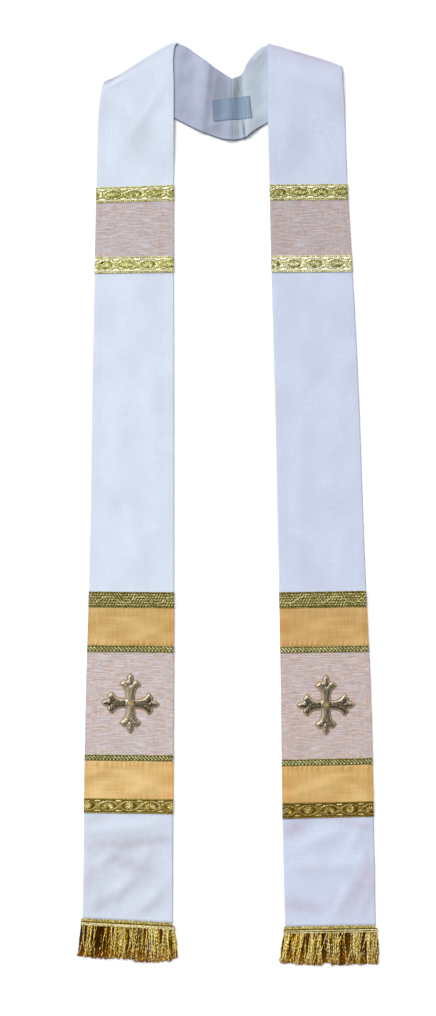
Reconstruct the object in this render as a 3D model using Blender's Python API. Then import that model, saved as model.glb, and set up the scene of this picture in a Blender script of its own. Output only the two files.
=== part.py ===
"""A clergy stole laid flat on a surface, its neck band folded under at both shoulders.

Frame: +X to the right and +Y towards the neck as seen from above, +Z up off the surface. The origin is
the middle of the stole's bounding box, on the surface. All tables are in millimetres.

Each half is one strip, as a maker cuts it: it runs from the fringed hem up the panel, folds over at the
shoulder and lies under the panel on its way to the seam at the centre back. Its right side faces up on
the panel and down on the neck band, so the neck band shows its lining.
"""
import math
from collections import namedtuple

import bmesh
import bpy
import numpy as np
from mathutils import Vector

MM = 0.001

# Thicknesses of the cloths and the gap left at every seam
MAIN_CLOTH = 2.0
LINING_CLOTH = 1.0
BAND_CLOTH = 1.0
BRAID_CLOTH = 1.4
CROSS_THICKNESS = 2.0
LABEL_CLOTH = 1.0
SEAM_GAP = 0.3
ROUNDED_EDGE = 0.5
SHARP_ANGLE = 35

# The shoulder fold: the panel lies just above the lined neck band
FOLD_INNER_RADIUS = 0.8
FOLD_STEPS = 6
PANEL_LIFT = MAIN_CLOTH + 2 * FOLD_INNER_RADIUS
DROP_START = 5.0
DROP_LENGTH = 27.0

# How finely the cloth is divided
COLUMNS = 9
BAND_COLUMNS = 5
SHOULDER_ROWS = 14
NECK_STEPS = 3
BULGE_FADE = 5

# Outline of the shoulder folds seen from above: outer and inner corner of each
Corners = namedtuple("Corners", "outer inner")
SHOULDER = {
    "left": Corners((-177.2, 599.6), (-72.4, 655.6)),
    "right": Corners((161.6, 620.2), (56.4, 653.0)),
}

# How far the fold's outline bulges past the straight line between its corners (0 outer, 1 inner)
Bulge = namedtuple("Bulge", "along left right")
FOLD_BULGE = (
    Bulge(0.00, 0.0, 0.0),
    Bulge(0.15, -2.6, 1.4),
    Bulge(0.30, -0.8, 2.0),
    Bulge(0.50, 1.2, 1.6),
    Bulge(0.70, 2.8, 1.2),
    Bulge(0.88, 3.2, 0.8),
    Bulge(1.00, 0.0, 0.0),
)

# The panels' side edges from the shoulder down to the hem
PanelEdge = namedtuple("PanelEdge", "y left_outer left_inner right_inner right_outer")
PANEL_EDGES = (
    PanelEdge(660.0, -177.4, -72.6, 56.2, 161.8),
    PanelEdge(640.0, -177.4, -76.9, 56.4, 161.8),
    PanelEdge(596.0, -178.0, -76.9, 56.6, 162.6),
    PanelEdge(573.0, -182.0, -76.9, 56.6, 164.5),
    PanelEdge(544.0, -184.8, -76.9, 56.6, 165.9),
    PanelEdge(502.0, -186.2, -76.9, 57.2, 167.3),
    PanelEdge(431.0, -187.7, -77.4, 59.0, 170.2),
    PanelEdge(360.0, -189.1, -77.6, 60.6, 174.4),
    PanelEdge(289.0, -190.6, -77.2, 62.3, 178.7),
    PanelEdge(147.0, -193.3, -76.9, 66.3, 185.6),
    PanelEdge(5.0, -195.4, -76.9, 69.4, 190.6),
    PanelEdge(-137.0, -198.2, -76.9, 72.4, 196.2),
    PanelEdge(-279.0, -202.2, -77.6, 74.9, 202.4),
    PanelEdge(-421.0, -204.7, -78.3, 76.6, 205.8),
    PanelEdge(-492.0, -205.4, -78.5, 77.9, 207.2),
    PanelEdge(-612.0, -207.5, -78.9, 80.8, 209.4),
)

# Where each piece on a panel begins, seen from the shoulder; it ends where the next one begins
PieceLine = namedtuple("PieceLine", "piece left_outer left_inner right_outer right_inner")
PIECE_LINES = (
    PieceLine("upper_braid_1", 447.9, 451.8, 453.3, 452.3),
    PieceLine("upper_panel", 426.2, 429.5, 431.2, 429.5),
    PieceLine("upper_braid_2", 349.5, 350.5, 352.4, 351.2),
    PieceLine("plain_middle", 326.2, 327.9, 328.5, 327.9),
    PieceLine("wide_braid_1", -124.9, -125.9, -123.9, -126.0),
    PieceLine("gold_band_1", -147.2, -148.7, -146.8, -148.9),
    PieceLine("narrow_braid_1", -200.9, -202.4, -201.6, -203.3),
    PieceLine("cross_panel", -210.8, -211.8, -210.8, -212.5),
    PieceLine("narrow_braid_2", -356.1, -357.2, -360.8, -363.6),
    PieceLine("gold_band_2", -364.7, -366.3, -370.7, -373.1),
    PieceLine("wide_braid_2", -417.8, -419.4, -422.5, -424.9),
    PieceLine("plain_hem", -438.7, -440.7, -443.7, -447.8),
    PieceLine("fringe", -589.2, -595.8, -598.9, -601.2),
)
PLAIN_STRETCHES = ("plain_middle", "plain_hem", "fringe")
PLAIN_ROW_LENGTH = 60.0

# The neck band from the shoulder fold to the centre-back seam: its top and bottom edge
NeckLine = namedtuple("NeckLine", "top_x top_y bottom_x bottom_y")
SEAM = NeckLine(5.0, 602.6, 6.6, 514.4)
NECK_LINES = {
    "left": (
        NeckLine(-59.9, 648.6, -139.4, 579.3),
        NeckLine(-47.1, 639.4, -103.9, 560.6),
        NeckLine(-35.7, 631.1, -72.6, 543.8),
        NeckLine(-25.8, 623.6, -44.2, 529.2),
        NeckLine(-17.3, 617.6, -24.4, 521.4),
        NeckLine(-6.6, 610.5, -8.0, 516.1),
    ),
    "right": (
        NeckLine(47.4, 647.7, 127.6, 594.9),
        NeckLine(38.1, 639.9, 93.5, 567.2),
        NeckLine(31.3, 631.8, 63.7, 544.0),
        NeckLine(26.5, 624.0, 45.9, 533.3),
        NeckLine(22.2, 614.8, 33.9, 525.4),
        NeckLine(17.5, 608.4, 23.2, 517.6),
    ),
}

# Soft ridges that cross the neck band, where the curved band is forced flat
Ridge = namedtuple("Ridge", "top_x bottom_x top_height bottom_height left_width right_width")
NECK_RIDGES = (
    Ridge(-31.0, -40.0, 2.2, 1.6, 20.0, 16.0),
    Ridge(2.0, 4.0, 3.2, 2.2, 16.0, 15.0),
    Ridge(26.0, 32.0, 3.0, 2.4, 8.5, 20.0),
)

# The neck lining stops short of the cloth's edges, and starts inside the fold
LINING_MARGIN = 0.02
LINING_START = 0.12

# The label's two ends on the neck lining, over the seam
LABEL_LEFT = NeckLine(-22.6, 572.5, -20.9, 541.7)
LABEL_RIGHT = NeckLine(30.5, 578.2, 34.2, 546.5)
LABEL_ROOM = 1.5
LABEL_COLUMNS = 4

# The cross, as one arm: distance from the centre and half width, up to the tip
ArmPoint = namedtuple("ArmPoint", "along half_width")
CROSS_ARM = (
    ArmPoint(8.2, 8.2),
    ArmPoint(14.0, 7.2),
    ArmPoint(19.0, 8.4),
    ArmPoint(23.0, 11.0),
    ArmPoint(25.6, 14.2),
    ArmPoint(28.4, 15.4),
    ArmPoint(30.8, 13.6),
    ArmPoint(31.6, 10.0),
    ArmPoint(31.0, 5.6),
    ArmPoint(34.0, 5.4),
    ArmPoint(38.4, 3.4),
    ArmPoint(42.6, 0.0),
)
CROSS_CENTRE = {"left": (-138.7, -284.2), "right": (139.6, -286.2)}
CROSS_WIDTH_RATIO = 0.965
CROSS_SHOULDER = 1.2
CROSS_INSET = 0.8

# The fringe: its heading, and the line of its ends, bowed in the middle
HEADING_HEIGHT = 9.0
HEADING_OVERHANG = 1.2
FRINGE_STRANDS = 42
FRINGE_LAYERS = 2
FRINGE_FLOOR = 0.3
FRINGE_THICKNESS = 2.8
STRAND_WIDTH = 0.68
STRAND_THICKNESS = 0.78
STRAND_STATIONS = (0.06, 0.5, 1.0)
STRAND_SWAY = 0.28
STRAND_LENGTH_PLAY = 1.2
FringeEnd = namedtuple("FringeEnd", "outer_x outer_y middle_y inner_x inner_y")
FRINGE_ENDS = {
    "left": FringeEnd(-212.7, -642.5, -651.6, -74.6, -650.4),
    "right": FringeEnd(212.6, -653.6, -655.4, 74.2, -653.0),
}

Material = namedtuple("Material", "color roughness metallic")
MATERIALS = {
    "white_cloth": Material((0.80, 0.84, 0.91), 0.85, 0.0),
    "neck_lining": Material((0.62, 0.66, 0.76), 0.8, 0.0),
    "striped_weave": Material((0.62, 0.49, 0.47), 0.7, 0.0),
    "gold_braid": Material((0.62, 0.56, 0.24), 0.5, 0.3),
    "olive_braid": Material((0.36, 0.30, 0.11), 0.5, 0.3),
    "amber_cloth": Material((0.68, 0.43, 0.17), 0.6, 0.0),
    "cross_embroidery": Material((0.42, 0.30, 0.16), 0.45, 0.4),
    "gold_fringe": Material((0.42, 0.28, 0.05), 0.45, 0.5),
    "label_satin": Material((0.35, 0.42, 0.52), 0.5, 0.0),
}
PIECE_MATERIALS = {
    "upper_braid": "gold_braid",
    "upper_panel": "striped_weave",
    "wide_braid": "olive_braid",
    "gold_band": "amber_cloth",
    "narrow_braid": "olive_braid",
    "cross_panel": "striped_weave",
}


def clear_scene():
    for obj in list(bpy.data.objects):
        bpy.data.objects.remove(obj, do_unlink=True)


def make_material(name):
    settings = MATERIALS[name]
    material = bpy.data.materials.new(name)
    material.use_nodes = True
    shader = material.node_tree.nodes["Principled BSDF"]
    shader.inputs["Base Color"].default_value = (*settings.color, 1.0)
    shader.inputs["Roughness"].default_value = settings.roughness
    shader.inputs["Metallic"].default_value = settings.metallic
    return material


def finish_object(name, shape, material):
    """Turn a bmesh in millimetres into the named object, with its faces pointing out."""
    bmesh.ops.scale(shape, vec=(MM, MM, MM), verts=shape.verts)
    bmesh.ops.recalc_face_normals(shape, faces=shape.faces)
    mesh = bpy.data.meshes.new(name)
    shape.to_mesh(mesh)
    shape.free()
    mesh.materials.append(material)
    mesh.shade_smooth()
    mesh.set_sharp_from_angle(angle=math.radians(SHARP_ANGLE))
    obj = bpy.data.objects.new(name, mesh)
    bpy.context.scene.collection.objects.link(obj)


def mix(a, b, amount):
    return a + (b - a) * amount


def smooth_step(value):
    value = min(max(value, 0.0), 1.0)
    return value * value * (3.0 - 2.0 * value)


def spline_rows(lines, steps):
    """Rows read from a Catmull-Rom curve through the lines, with the given steps between two lines."""
    rows = []
    for index in range(len(lines) - 1):
        before = np.array(lines[max(index - 1, 0)])
        start = np.array(lines[index])
        end = np.array(lines[index + 1])
        after = np.array(lines[min(index + 2, len(lines) - 1)])
        for step in range(steps):
            t = step / steps
            curve = 2 * start + (end - before) * t
            curve = curve + (2 * before - 5 * start + 4 * end - after) * t**2
            curve = curve + (3 * start - before - 3 * end + after) * t**3
            rows.append(NeckLine(*(curve / 2)))
    rows.append(NeckLine(*lines[-1]))
    return rows


# A strip's row is a list of places across it, each with the way its right side faces there
Place = namedtuple("Place", "at facing")
UP = Vector((0, 0, 1))


def column_shares(count):
    return [index / (count - 1) for index in range(count)]


def edge_x(y, column):
    heights = [row.y for row in reversed(PANEL_EDGES)]
    places = [getattr(row, column) for row in reversed(PANEL_EDGES)]
    return float(np.interp(y, heights, places))


def fold_outward(side):
    """The direction, seen from above, in which the shoulder fold's outline faces."""
    corners = SHOULDER[side]
    line = Vector((*corners.inner, 0)) - Vector((*corners.outer, 0))
    outward = Vector((-line.y, line.x, 0)).normalized()
    return outward if outward.y > 0 else -outward


def fold_bulge(side, share):
    return float(np.interp(share, [row.along for row in FOLD_BULGE], [getattr(row, side) for row in FOLD_BULGE]))


def fold_axis(side):
    """Places along the centre of the shoulder fold, from its outer to its inner end."""
    corners = SHOULDER[side]
    outward = fold_outward(side)
    outer_radius = FOLD_INNER_RADIUS + MAIN_CLOTH
    points = []
    for share in column_shares(COLUMNS):
        corner = Vector((*corners.outer, 0)).lerp(Vector((*corners.inner, 0)), share)
        points.append(corner + outward * (fold_bulge(side, share) - outer_radius))
    return points


def neck_lift(x, y):
    """Height of the neck band above the surface, from the ridges across it."""
    depth = (SEAM.top_y - y) / (SEAM.top_y - SEAM.bottom_y)
    lift = 0.0
    for ridge in NECK_RIDGES:
        centre = mix(ridge.top_x, ridge.bottom_x, depth)
        height = mix(ridge.top_height, ridge.bottom_height, depth)
        width = ridge.left_width if x < centre else ridge.right_width
        away = min(abs(x - centre) / width, 1.0)
        lift += height * (1 + math.cos(math.pi * away)) / 2
    return lift


def neck_lines(side):
    """The neck band's lines from the fold's axis to the seam, worked out between the table's lines."""
    axis = fold_axis(side)
    fold = NeckLine(axis[-1].x, axis[-1].y, axis[0].x, axis[0].y)
    half_gap = SEAM_GAP / 2 if side == "right" else -SEAM_GAP / 2
    seam = SEAM._replace(top_x=SEAM.top_x + half_gap, bottom_x=SEAM.bottom_x + half_gap)
    return spline_rows((fold,) + NECK_LINES[side] + (seam,), NECK_STEPS)


def neck_row(line, shares, bulge=None):
    """A row across the neck band: share 0 is its bottom edge, 1 its top edge."""
    row = []
    for share in shares:
        x = mix(line.bottom_x, line.top_x, share)
        y = mix(line.bottom_y, line.top_y, share)
        at = Vector((x, y, MAIN_CLOTH / 2 + neck_lift(x, y)))
        if bulge:
            at = at + bulge(share)
        row.append(Place(at, -UP))
    return row


def neck_rows(side, shares, start=0.0):
    """The neck band's rows to the seam, from a start between its first two lines; the fold's bulge fades out."""
    lines = neck_lines(side)
    first = NeckLine(*(mix(a, b, start) for a, b in zip(lines[0], lines[1])))
    rows = []
    for index, line in enumerate([first] + lines[1:]):
        fading = fold_outward(side) * max(0.0, 1 - max(index, start) / BULGE_FADE) ** 2
        rows.append(neck_row(line, shares, lambda share: fading * fold_bulge(side, share)))
    return rows


def panel_lift(side, x, y):
    """Height of the panel above the surface: over the neck band, then coming down beside it."""
    lines = sorted((line.bottom_x, line.bottom_y) for line in neck_lines(side))
    neck_edge = float(np.interp(x, [line[0] for line in lines], [line[1] for line in lines]))
    dropped = smooth_step((neck_edge - y - DROP_START) / DROP_LENGTH)
    return PANEL_LIFT * (1.0 - dropped)


def panel_row(side, outer_y, inner_y, columns=COLUMNS, bulge=0.0):
    """A row across a panel, straight between its two edges apart from the fold's bulge."""
    outer_x = edge_x(outer_y, side + "_outer")
    inner_x = edge_x(inner_y, side + "_inner")
    outward = fold_outward(side)
    row = []
    for share in column_shares(columns):
        flat = Vector((mix(outer_x, inner_x, share), mix(outer_y, inner_y, share), 0))
        flat = flat + outward * fold_bulge(side, share) * bulge
        row.append(Place(flat + UP * (MAIN_CLOTH / 2 + panel_lift(side, flat.x, flat.y)), UP))
    return row


def line_heights(line, side):
    return getattr(line, side + "_outer"), getattr(line, side + "_inner")


def shoulder_rows(side):
    """Rows from the first braid up to the shoulder fold, turning from level to the fold's slope."""
    axis = fold_axis(side)
    first_outer, first_inner = line_heights(PIECE_LINES[0], side)
    rows = []
    for step in range(1, SHOULDER_ROWS):
        share = step / SHOULDER_ROWS
        outer_y = mix(first_outer, axis[0].y, share)
        inner_y = mix(first_inner, axis[-1].y, share)
        rows.append(panel_row(side, outer_y, inner_y, bulge=share**3))
    return rows


def fold_rows(side):
    """Rows round the shoulder fold, from the panel on top to the neck band below."""
    axis_height = MAIN_CLOTH + FOLD_INNER_RADIUS
    radius = FOLD_INNER_RADIUS + MAIN_CLOTH / 2
    outward = fold_outward(side)
    rows = []
    for step in range(FOLD_STEPS + 1):
        angle = math.pi * (0.5 - step / FOLD_STEPS)
        facing = outward * math.cos(angle) + UP * math.sin(angle)
        rows.append([Place(point + UP * axis_height + facing * radius, facing) for point in fold_axis(side)])
    return rows


def strip_rows(side):
    """All rows of one half, from its hem over the shoulder to the centre-back seam."""
    rows = []
    lines = list(reversed(PIECE_LINES))
    for lower, upper in zip(lines, lines[1:]):
        lower_outer, lower_inner = line_heights(lower, side)
        upper_outer, upper_inner = line_heights(upper, side)
        steps = max(1, round((upper_outer - lower_outer) / PLAIN_ROW_LENGTH))
        for step in range(steps):
            share = step / steps
            rows.append(panel_row(side, mix(lower_outer, upper_outer, share), mix(lower_inner, upper_inner, share)))
    rows.append(panel_row(side, *line_heights(PIECE_LINES[0], side)))
    rows.extend(shoulder_rows(side))
    rows.extend(fold_rows(side))
    rows.extend(neck_rows(side, column_shares(COLUMNS))[1:])
    return rows


def wall(rows, lower, upper):
    """A closed wall through rows of places, between two distances from them, with rounded side edges."""
    shape = bmesh.new()
    rings = []
    for row in rows:
        ends = (row[0], row[-1])
        across = (ends[1].at - ends[0].at).normalized() * ROUNDED_EDGE
        spots = list(row)
        spots[0] = Place(row[0].at + across, row[0].facing)
        spots[-1] = Place(row[-1].at - across, row[-1].facing)
        middle = (lower + upper) / 2
        under = [spot.at + spot.facing * lower for spot in spots]
        over = [spot.at + spot.facing * upper for spot in spots]
        near, far = [end.at + end.facing * middle for end in ends]
        points = under + [far] + list(reversed(over)) + [near]
        rings.append([shape.verts.new(point) for point in points])
    for ring, following in zip(rings, rings[1:]):
        for index in range(len(ring)):
            after = (index + 1) % len(ring)
            shape.faces.new((ring[index], ring[after], following[after], following[index]))
    for ring in (rings[0], rings[-1]):
        cap_ring(shape, ring)
    return shape


def cap_ring(shape, ring):
    """Close a wall's end with a face between each two columns."""
    columns = (len(ring) - 2) // 2
    under = ring[:columns]
    over = list(reversed(ring[columns + 1 : -1]))
    shape.faces.new((ring[-1], under[0], over[0]))
    shape.faces.new((ring[columns], over[-1], under[-1]))
    for index in range(columns - 1):
        shape.faces.new((under[index], under[index + 1], over[index + 1], over[index]))


def piece_rows(side, start, end):
    """Two rows for a piece between its own line and the next, half a seam gap inside both."""
    rows = []
    for line, inward in ((start, -SEAM_GAP / 2), (end, SEAM_GAP / 2)):
        outer_y, inner_y = line_heights(line, side)
        rows.append(panel_row(side, outer_y + inward, inner_y + inward, BAND_COLUMNS))
    return rows


def build_strip(side, materials):
    half = MAIN_CLOTH / 2
    finish_object(f"stole_{side}", wall(strip_rows(side), -half, half), materials["white_cloth"])


def build_lining(side, materials):
    shares = [min(max(share, LINING_MARGIN), 1 - LINING_MARGIN) for share in column_shares(COLUMNS)]
    near = -(MAIN_CLOTH / 2 + SEAM_GAP)
    shape = wall(neck_rows(side, shares, LINING_START), near, near - LINING_CLOTH)
    finish_object(f"neck_lining_{side}", shape, materials["neck_lining"])


def build_pieces(side, materials):
    """The braids and bands that lie on one panel."""
    for start, end in zip(PIECE_LINES, PIECE_LINES[1:]):
        if start.piece in PLAIN_STRETCHES:
            continue
        kind = start.piece.rstrip("_12")
        cloth = BRAID_CLOTH if kind.endswith("braid") else BAND_CLOTH
        near = MAIN_CLOTH / 2 + SEAM_GAP
        shape = wall(piece_rows(side, start, end), near, near + cloth)
        finish_object(f"{start.piece}_{side}", shape, materials[PIECE_MATERIALS[kind]])


def point_on(line, y):
    """Where a neck line reaches the height y."""
    share = (y - line.bottom_y) / (line.top_y - line.bottom_y)
    return mix(line.bottom_x, line.top_x, share), y


def label_line(line):
    """The stretch of a neck line that lies between the label's bottom and top edge."""
    middle_x = point_on(line, (LABEL_LEFT.top_y + LABEL_LEFT.bottom_y) / 2)[0]
    along = (middle_x - LABEL_LEFT.top_x) / (LABEL_RIGHT.top_x - LABEL_LEFT.top_x)
    top = point_on(line, mix(LABEL_LEFT.top_y, LABEL_RIGHT.top_y, along))
    bottom = point_on(line, mix(LABEL_LEFT.bottom_y, LABEL_RIGHT.bottom_y, along))
    return NeckLine(*top, *bottom)


def inside_label(line):
    """Whether a line keeps clear of both ends of the label."""
    past_left = min(line.top_x - LABEL_LEFT.top_x, line.bottom_x - LABEL_LEFT.bottom_x)
    before_right = min(LABEL_RIGHT.top_x - line.top_x, LABEL_RIGHT.bottom_x - line.bottom_x)
    return min(past_left, before_right) > LABEL_ROOM


def build_label(materials):
    """A blank label sewn over the centre-back seam, on the same lines as the lining below it."""
    halves = neck_lines("left")[:-1] + [SEAM] + list(reversed(neck_lines("right")[:-1]))
    lines = [line for line in map(label_line, halves) if inside_label(line)]
    rows = [neck_row(line, column_shares(LABEL_COLUMNS)) for line in [LABEL_LEFT] + lines + [LABEL_RIGHT]]
    near = -(MAIN_CLOTH / 2 + SEAM_GAP + LINING_CLOTH + SEAM_GAP)
    finish_object("neck_label", wall(rows, near, near - LABEL_CLOTH), materials["label_satin"])


def cross_outline():
    """The cross's outline from its one arm, turned four times."""
    half = [(point.along, -point.half_width) for point in CROSS_ARM[1:]]
    other = [(along, -width) for along, width in reversed(half[:-1])]
    arm = [(CROSS_ARM[0].along, -CROSS_ARM[0].half_width)] + half + other
    outline = []
    for quarter in range(4):
        turn = math.pi / 2 * quarter
        for along, across in arm:
            x = along * math.cos(turn) - across * math.sin(turn)
            y = along * math.sin(turn) + across * math.cos(turn)
            outline.append((x * CROSS_WIDTH_RATIO, y))
    return outline


def build_cross(side, materials):
    """The padded cross: a flat back, upright sides and a top face drawn in."""
    centre_x, centre_y = CROSS_CENTRE[side]
    base = MAIN_CLOTH + SEAM_GAP + BAND_CLOTH + SEAM_GAP
    shape = bmesh.new()
    corners = [shape.verts.new((centre_x + x, centre_y + y, base)) for x, y in cross_outline()]
    back = shape.faces.new(corners)
    raised = bmesh.ops.extrude_face_region(shape, geom=[back], use_keep_orig=True)
    lifted = [item for item in raised["geom"] if isinstance(item, bmesh.types.BMVert)]
    top = [item for item in raised["geom"] if isinstance(item, bmesh.types.BMFace)]
    bmesh.ops.translate(shape, verts=lifted, vec=UP * CROSS_SHOULDER)
    bmesh.ops.inset_region(shape, faces=top, thickness=CROSS_INSET, use_even_offset=True)
    top_corners = {corner for face in top for corner in face.verts}
    bmesh.ops.translate(shape, verts=list(top_corners), vec=UP * (CROSS_THICKNESS - CROSS_SHOULDER))
    finish_object(f"cross_{side}", shape, materials["cross_embroidery"])


def fringe_end(side, share):
    """Where a strand ends: share 0 is the outer side of the fringe, 1 the inner."""
    ends = FRINGE_ENDS[side]
    x = mix(ends.outer_x, ends.inner_x, share)
    straight = mix(ends.outer_y, ends.inner_y, share)
    bow = ends.middle_y - (ends.outer_y + ends.inner_y) / 2
    return Vector((x, straight + bow * 4 * share * (1 - share), 0))


def fringe_heading(shape, side):
    """The heading as a box that is open below, divided for the strands; gives its lower corners."""
    outward = -1 if side == "left" else 1
    top_outer, top_inner = line_heights(PIECE_LINES[-1], side)
    outer_x = edge_x(top_outer, side + "_outer") + outward * HEADING_OVERHANG
    inner_x = edge_x(top_inner, side + "_inner") - outward * HEADING_OVERHANG
    layer = FRINGE_THICKNESS / FRINGE_LAYERS
    lower, upper = [], []
    for index in range(FRINGE_STRANDS + 1):
        share = index / FRINGE_STRANDS
        x = mix(outer_x, inner_x, share)
        top_y = mix(top_outer, top_inner, share) - SEAM_GAP
        heights = [FRINGE_FLOOR + layer * level for level in range(FRINGE_LAYERS + 1)]
        lower.append([shape.verts.new((x, top_y - HEADING_HEIGHT, z)) for z in heights])
        upper.append([shape.verts.new((x, top_y, z)) for z in (heights[0], heights[-1])])
    for index in range(FRINGE_STRANDS):
        here, there = lower[index], lower[index + 1]
        up_here, up_there = upper[index], upper[index + 1]
        shape.faces.new((here[0], there[0], up_there[0], up_here[0]))
        shape.faces.new((here[-1], there[-1], up_there[1], up_here[1]))
        shape.faces.new((up_here[0], up_there[0], up_there[1], up_here[1]))
    for index in (0, -1):
        shape.faces.new(lower[index] + [upper[index][1], upper[index][0]])
    return lower


def add_strand(shape, cell, end, sway):
    """One strand, grown from a cell of the heading: narrowed at its root, then nearly straight."""
    root = sum((corner.co for corner in cell), Vector()) / 4
    reach = Vector((end.x - root.x, end.y - root.y, 0))
    corners = cell
    for share in STRAND_STATIONS:
        centre = root + reach * share
        side_step = sway * math.sin(math.pi / 2 * share)
        ring = []
        for corner in cell:
            offset = corner.co - root
            place = (offset.x * STRAND_WIDTH + side_step, 0, offset.z * STRAND_THICKNESS)
            ring.append(shape.verts.new(centre + Vector(place)))
        for index in range(4):
            after = (index + 1) % 4
            shape.faces.new((corners[index], corners[after], ring[after], ring[index]))
        corners = ring
    shape.faces.new(corners)


def build_fringe(side, materials):
    shape = bmesh.new()
    lower = fringe_heading(shape, side)
    for index in range(FRINGE_STRANDS):
        for level in range(FRINGE_LAYERS):
            here, there = lower[index], lower[index + 1]
            cell = (here[level], there[level], there[level + 1], here[level + 1])
            end = fringe_end(side, (index + 0.5) / FRINGE_STRANDS)
            end.y += STRAND_LENGTH_PLAY * (1 + math.sin(index * 2.3 + level * 1.9)) / 2
            add_strand(shape, cell, end, STRAND_SWAY * math.sin(index * 1.1 + level * 2.6))
    finish_object(f"fringe_{side}", shape, materials["gold_fringe"])


def main():
    clear_scene()
    materials = {name: make_material(name) for name in MATERIALS}
    for side in ("left", "right"):
        build_strip(side, materials)
        build_lining(side, materials)
        build_pieces(side, materials)
        build_cross(side, materials)
        build_fringe(side, materials)
    build_label(materials)


main()
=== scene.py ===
# %% [markdown]
# A clergy stole, laid flat and seen from above. It is a long narrow band of white linen-look cloth in two
# halves, joined by a seam at the centre back. Each half carries bands of other cloths, woven braids, an
# embroidered cross and a metallic fringe.
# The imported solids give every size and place. This lesson dresses them: each cloth becomes a thin shell with
# soft creases, each braid gets its woven relief, and each finish its own nodes.
# %% Load the frame
import math
import random
from collections import namedtuple
from functools import partial

import bmesh
import bpy
import numpy as np
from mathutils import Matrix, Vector, noise
from mathutils.geometry import delaunay_2d_cdt


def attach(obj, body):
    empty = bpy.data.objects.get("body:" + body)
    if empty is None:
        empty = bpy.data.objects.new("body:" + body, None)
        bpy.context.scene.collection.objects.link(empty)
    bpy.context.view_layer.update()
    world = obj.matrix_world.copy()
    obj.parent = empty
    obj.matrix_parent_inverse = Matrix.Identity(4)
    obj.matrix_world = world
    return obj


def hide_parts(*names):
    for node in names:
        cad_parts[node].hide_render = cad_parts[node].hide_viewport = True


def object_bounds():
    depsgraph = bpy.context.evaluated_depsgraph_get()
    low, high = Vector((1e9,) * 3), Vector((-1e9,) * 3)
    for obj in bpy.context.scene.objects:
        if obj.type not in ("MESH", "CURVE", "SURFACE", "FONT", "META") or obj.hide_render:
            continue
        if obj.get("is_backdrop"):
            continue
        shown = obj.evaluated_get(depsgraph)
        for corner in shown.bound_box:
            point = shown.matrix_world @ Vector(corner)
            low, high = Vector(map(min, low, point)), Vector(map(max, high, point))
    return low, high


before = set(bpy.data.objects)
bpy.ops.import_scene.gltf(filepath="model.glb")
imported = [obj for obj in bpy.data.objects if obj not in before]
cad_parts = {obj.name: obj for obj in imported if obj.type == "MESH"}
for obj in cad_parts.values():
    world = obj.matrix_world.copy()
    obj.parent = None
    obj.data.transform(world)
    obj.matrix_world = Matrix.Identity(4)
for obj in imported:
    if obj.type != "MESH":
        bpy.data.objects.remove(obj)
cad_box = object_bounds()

MM = 0.001
SIDES = ("left", "right")
print("CAD box in mm:", [[round(value / MM, 1) for value in corner] for corner in cad_box])

# %% [markdown]
# Two helpers carry the whole lesson. One turns the hex colours that a dyer's card would show into the
# linear values that Blender's nodes want. The other adds a node: settings are given by name, and inputs
# by their name or number, each a plain value, a hex colour, another node or one of its outputs. It serves
# shader trees and geometry trees alike. Two more serve the finishes: one lays a colour over another where
# some pattern is strong, as a dyer or a thread would, and one gives the shader its colour, its bump and
# the rest of its looks.
# %% Colour and node helpers


def linear(hex_code):
    """A linear colour from an sRGB hex code such as "#D7E1EF"."""
    channels = [int(hex_code[start : start + 2], 16) / 255 for start in (1, 3, 5)]
    return (*[c / 12.92 if c <= 0.04045 else ((c + 0.055) / 1.055) ** 2.4 for c in channels], 1.0)


def connect(tree, node, inputs):
    """Set a node's inputs, or link them to other nodes."""
    for key, value in inputs.items():
        if isinstance(key, int):
            socket = node.inputs[key]
        else:
            socket = next(entry for entry in node.inputs if entry.enabled and entry.name == key)
        if isinstance(value, bpy.types.Node):
            value = next(output for output in value.outputs if output.enabled)
        if isinstance(value, bpy.types.NodeSocket):
            tree.links.new(value, socket)
        else:
            is_colour = isinstance(value, str) and value.startswith("#")
            socket.default_value = linear(value) if is_colour else value


def add(tree, kind, inputs=None, **settings):
    """A new node with its settings and its inputs."""
    node = tree.nodes.new(kind)
    for name, value in settings.items():
        setattr(node, name, value)
    connect(tree, node, inputs or {})
    return node


def start_material(name):
    """An empty material; the cell that asks for it adds the nodes."""
    material = bpy.data.materials.new(name)
    material.use_nodes = True
    return material, material.node_tree


def overlay(tree, under, over, share, start, end, most=1.0, shape="LINEAR"):
    """Lay one colour over another: none of it where share is at start, and most of it at end."""
    depth = {"Value": share, "From Min": start, "From Max": end, "To Max": most}
    depth = add(tree, "ShaderNodeMapRange", depth, interpolation_type=shape)
    return add(tree, "ShaderNodeMix", {"Factor": depth, "A": under, "B": over}, data_type="RGBA")


def dress(tree, tone, height, depth, strength, looks):
    """Give the shader a colour, a bump with its depth in millimetres, and the rest of its looks."""
    bump = {"Height": height, "Distance": depth * MM, "Strength": strength}
    looks = {"Base Color": tone, "Normal": add(tree, "ShaderNodeBump", bump), **looks}
    connect(tree, tree.nodes["Principled BSDF"], looks)


# %% [markdown]
# The photograph looks straight down on the stole, so the camera hangs over it with its long side along
# the panels. A long lens keeps the folded shoulders free of perspective. The floor is plain and pale. The
# light is soft: a sky that glows from the upper left, as beside a large window, so that padded and
# metallic things get a bright and a dark side, a wide soft sun for the weave, and a small weak one for
# the glints of metal thread.
# %% Camera, floor and light
MM_PER_PIXEL = 1.42
PHOTO_WIDTH, PHOTO_HEIGHT = 436, 1016
PHOTO_CENTRE = (228.15, 503.45)
LENS, SENSOR = 85.0, 36.0

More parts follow.
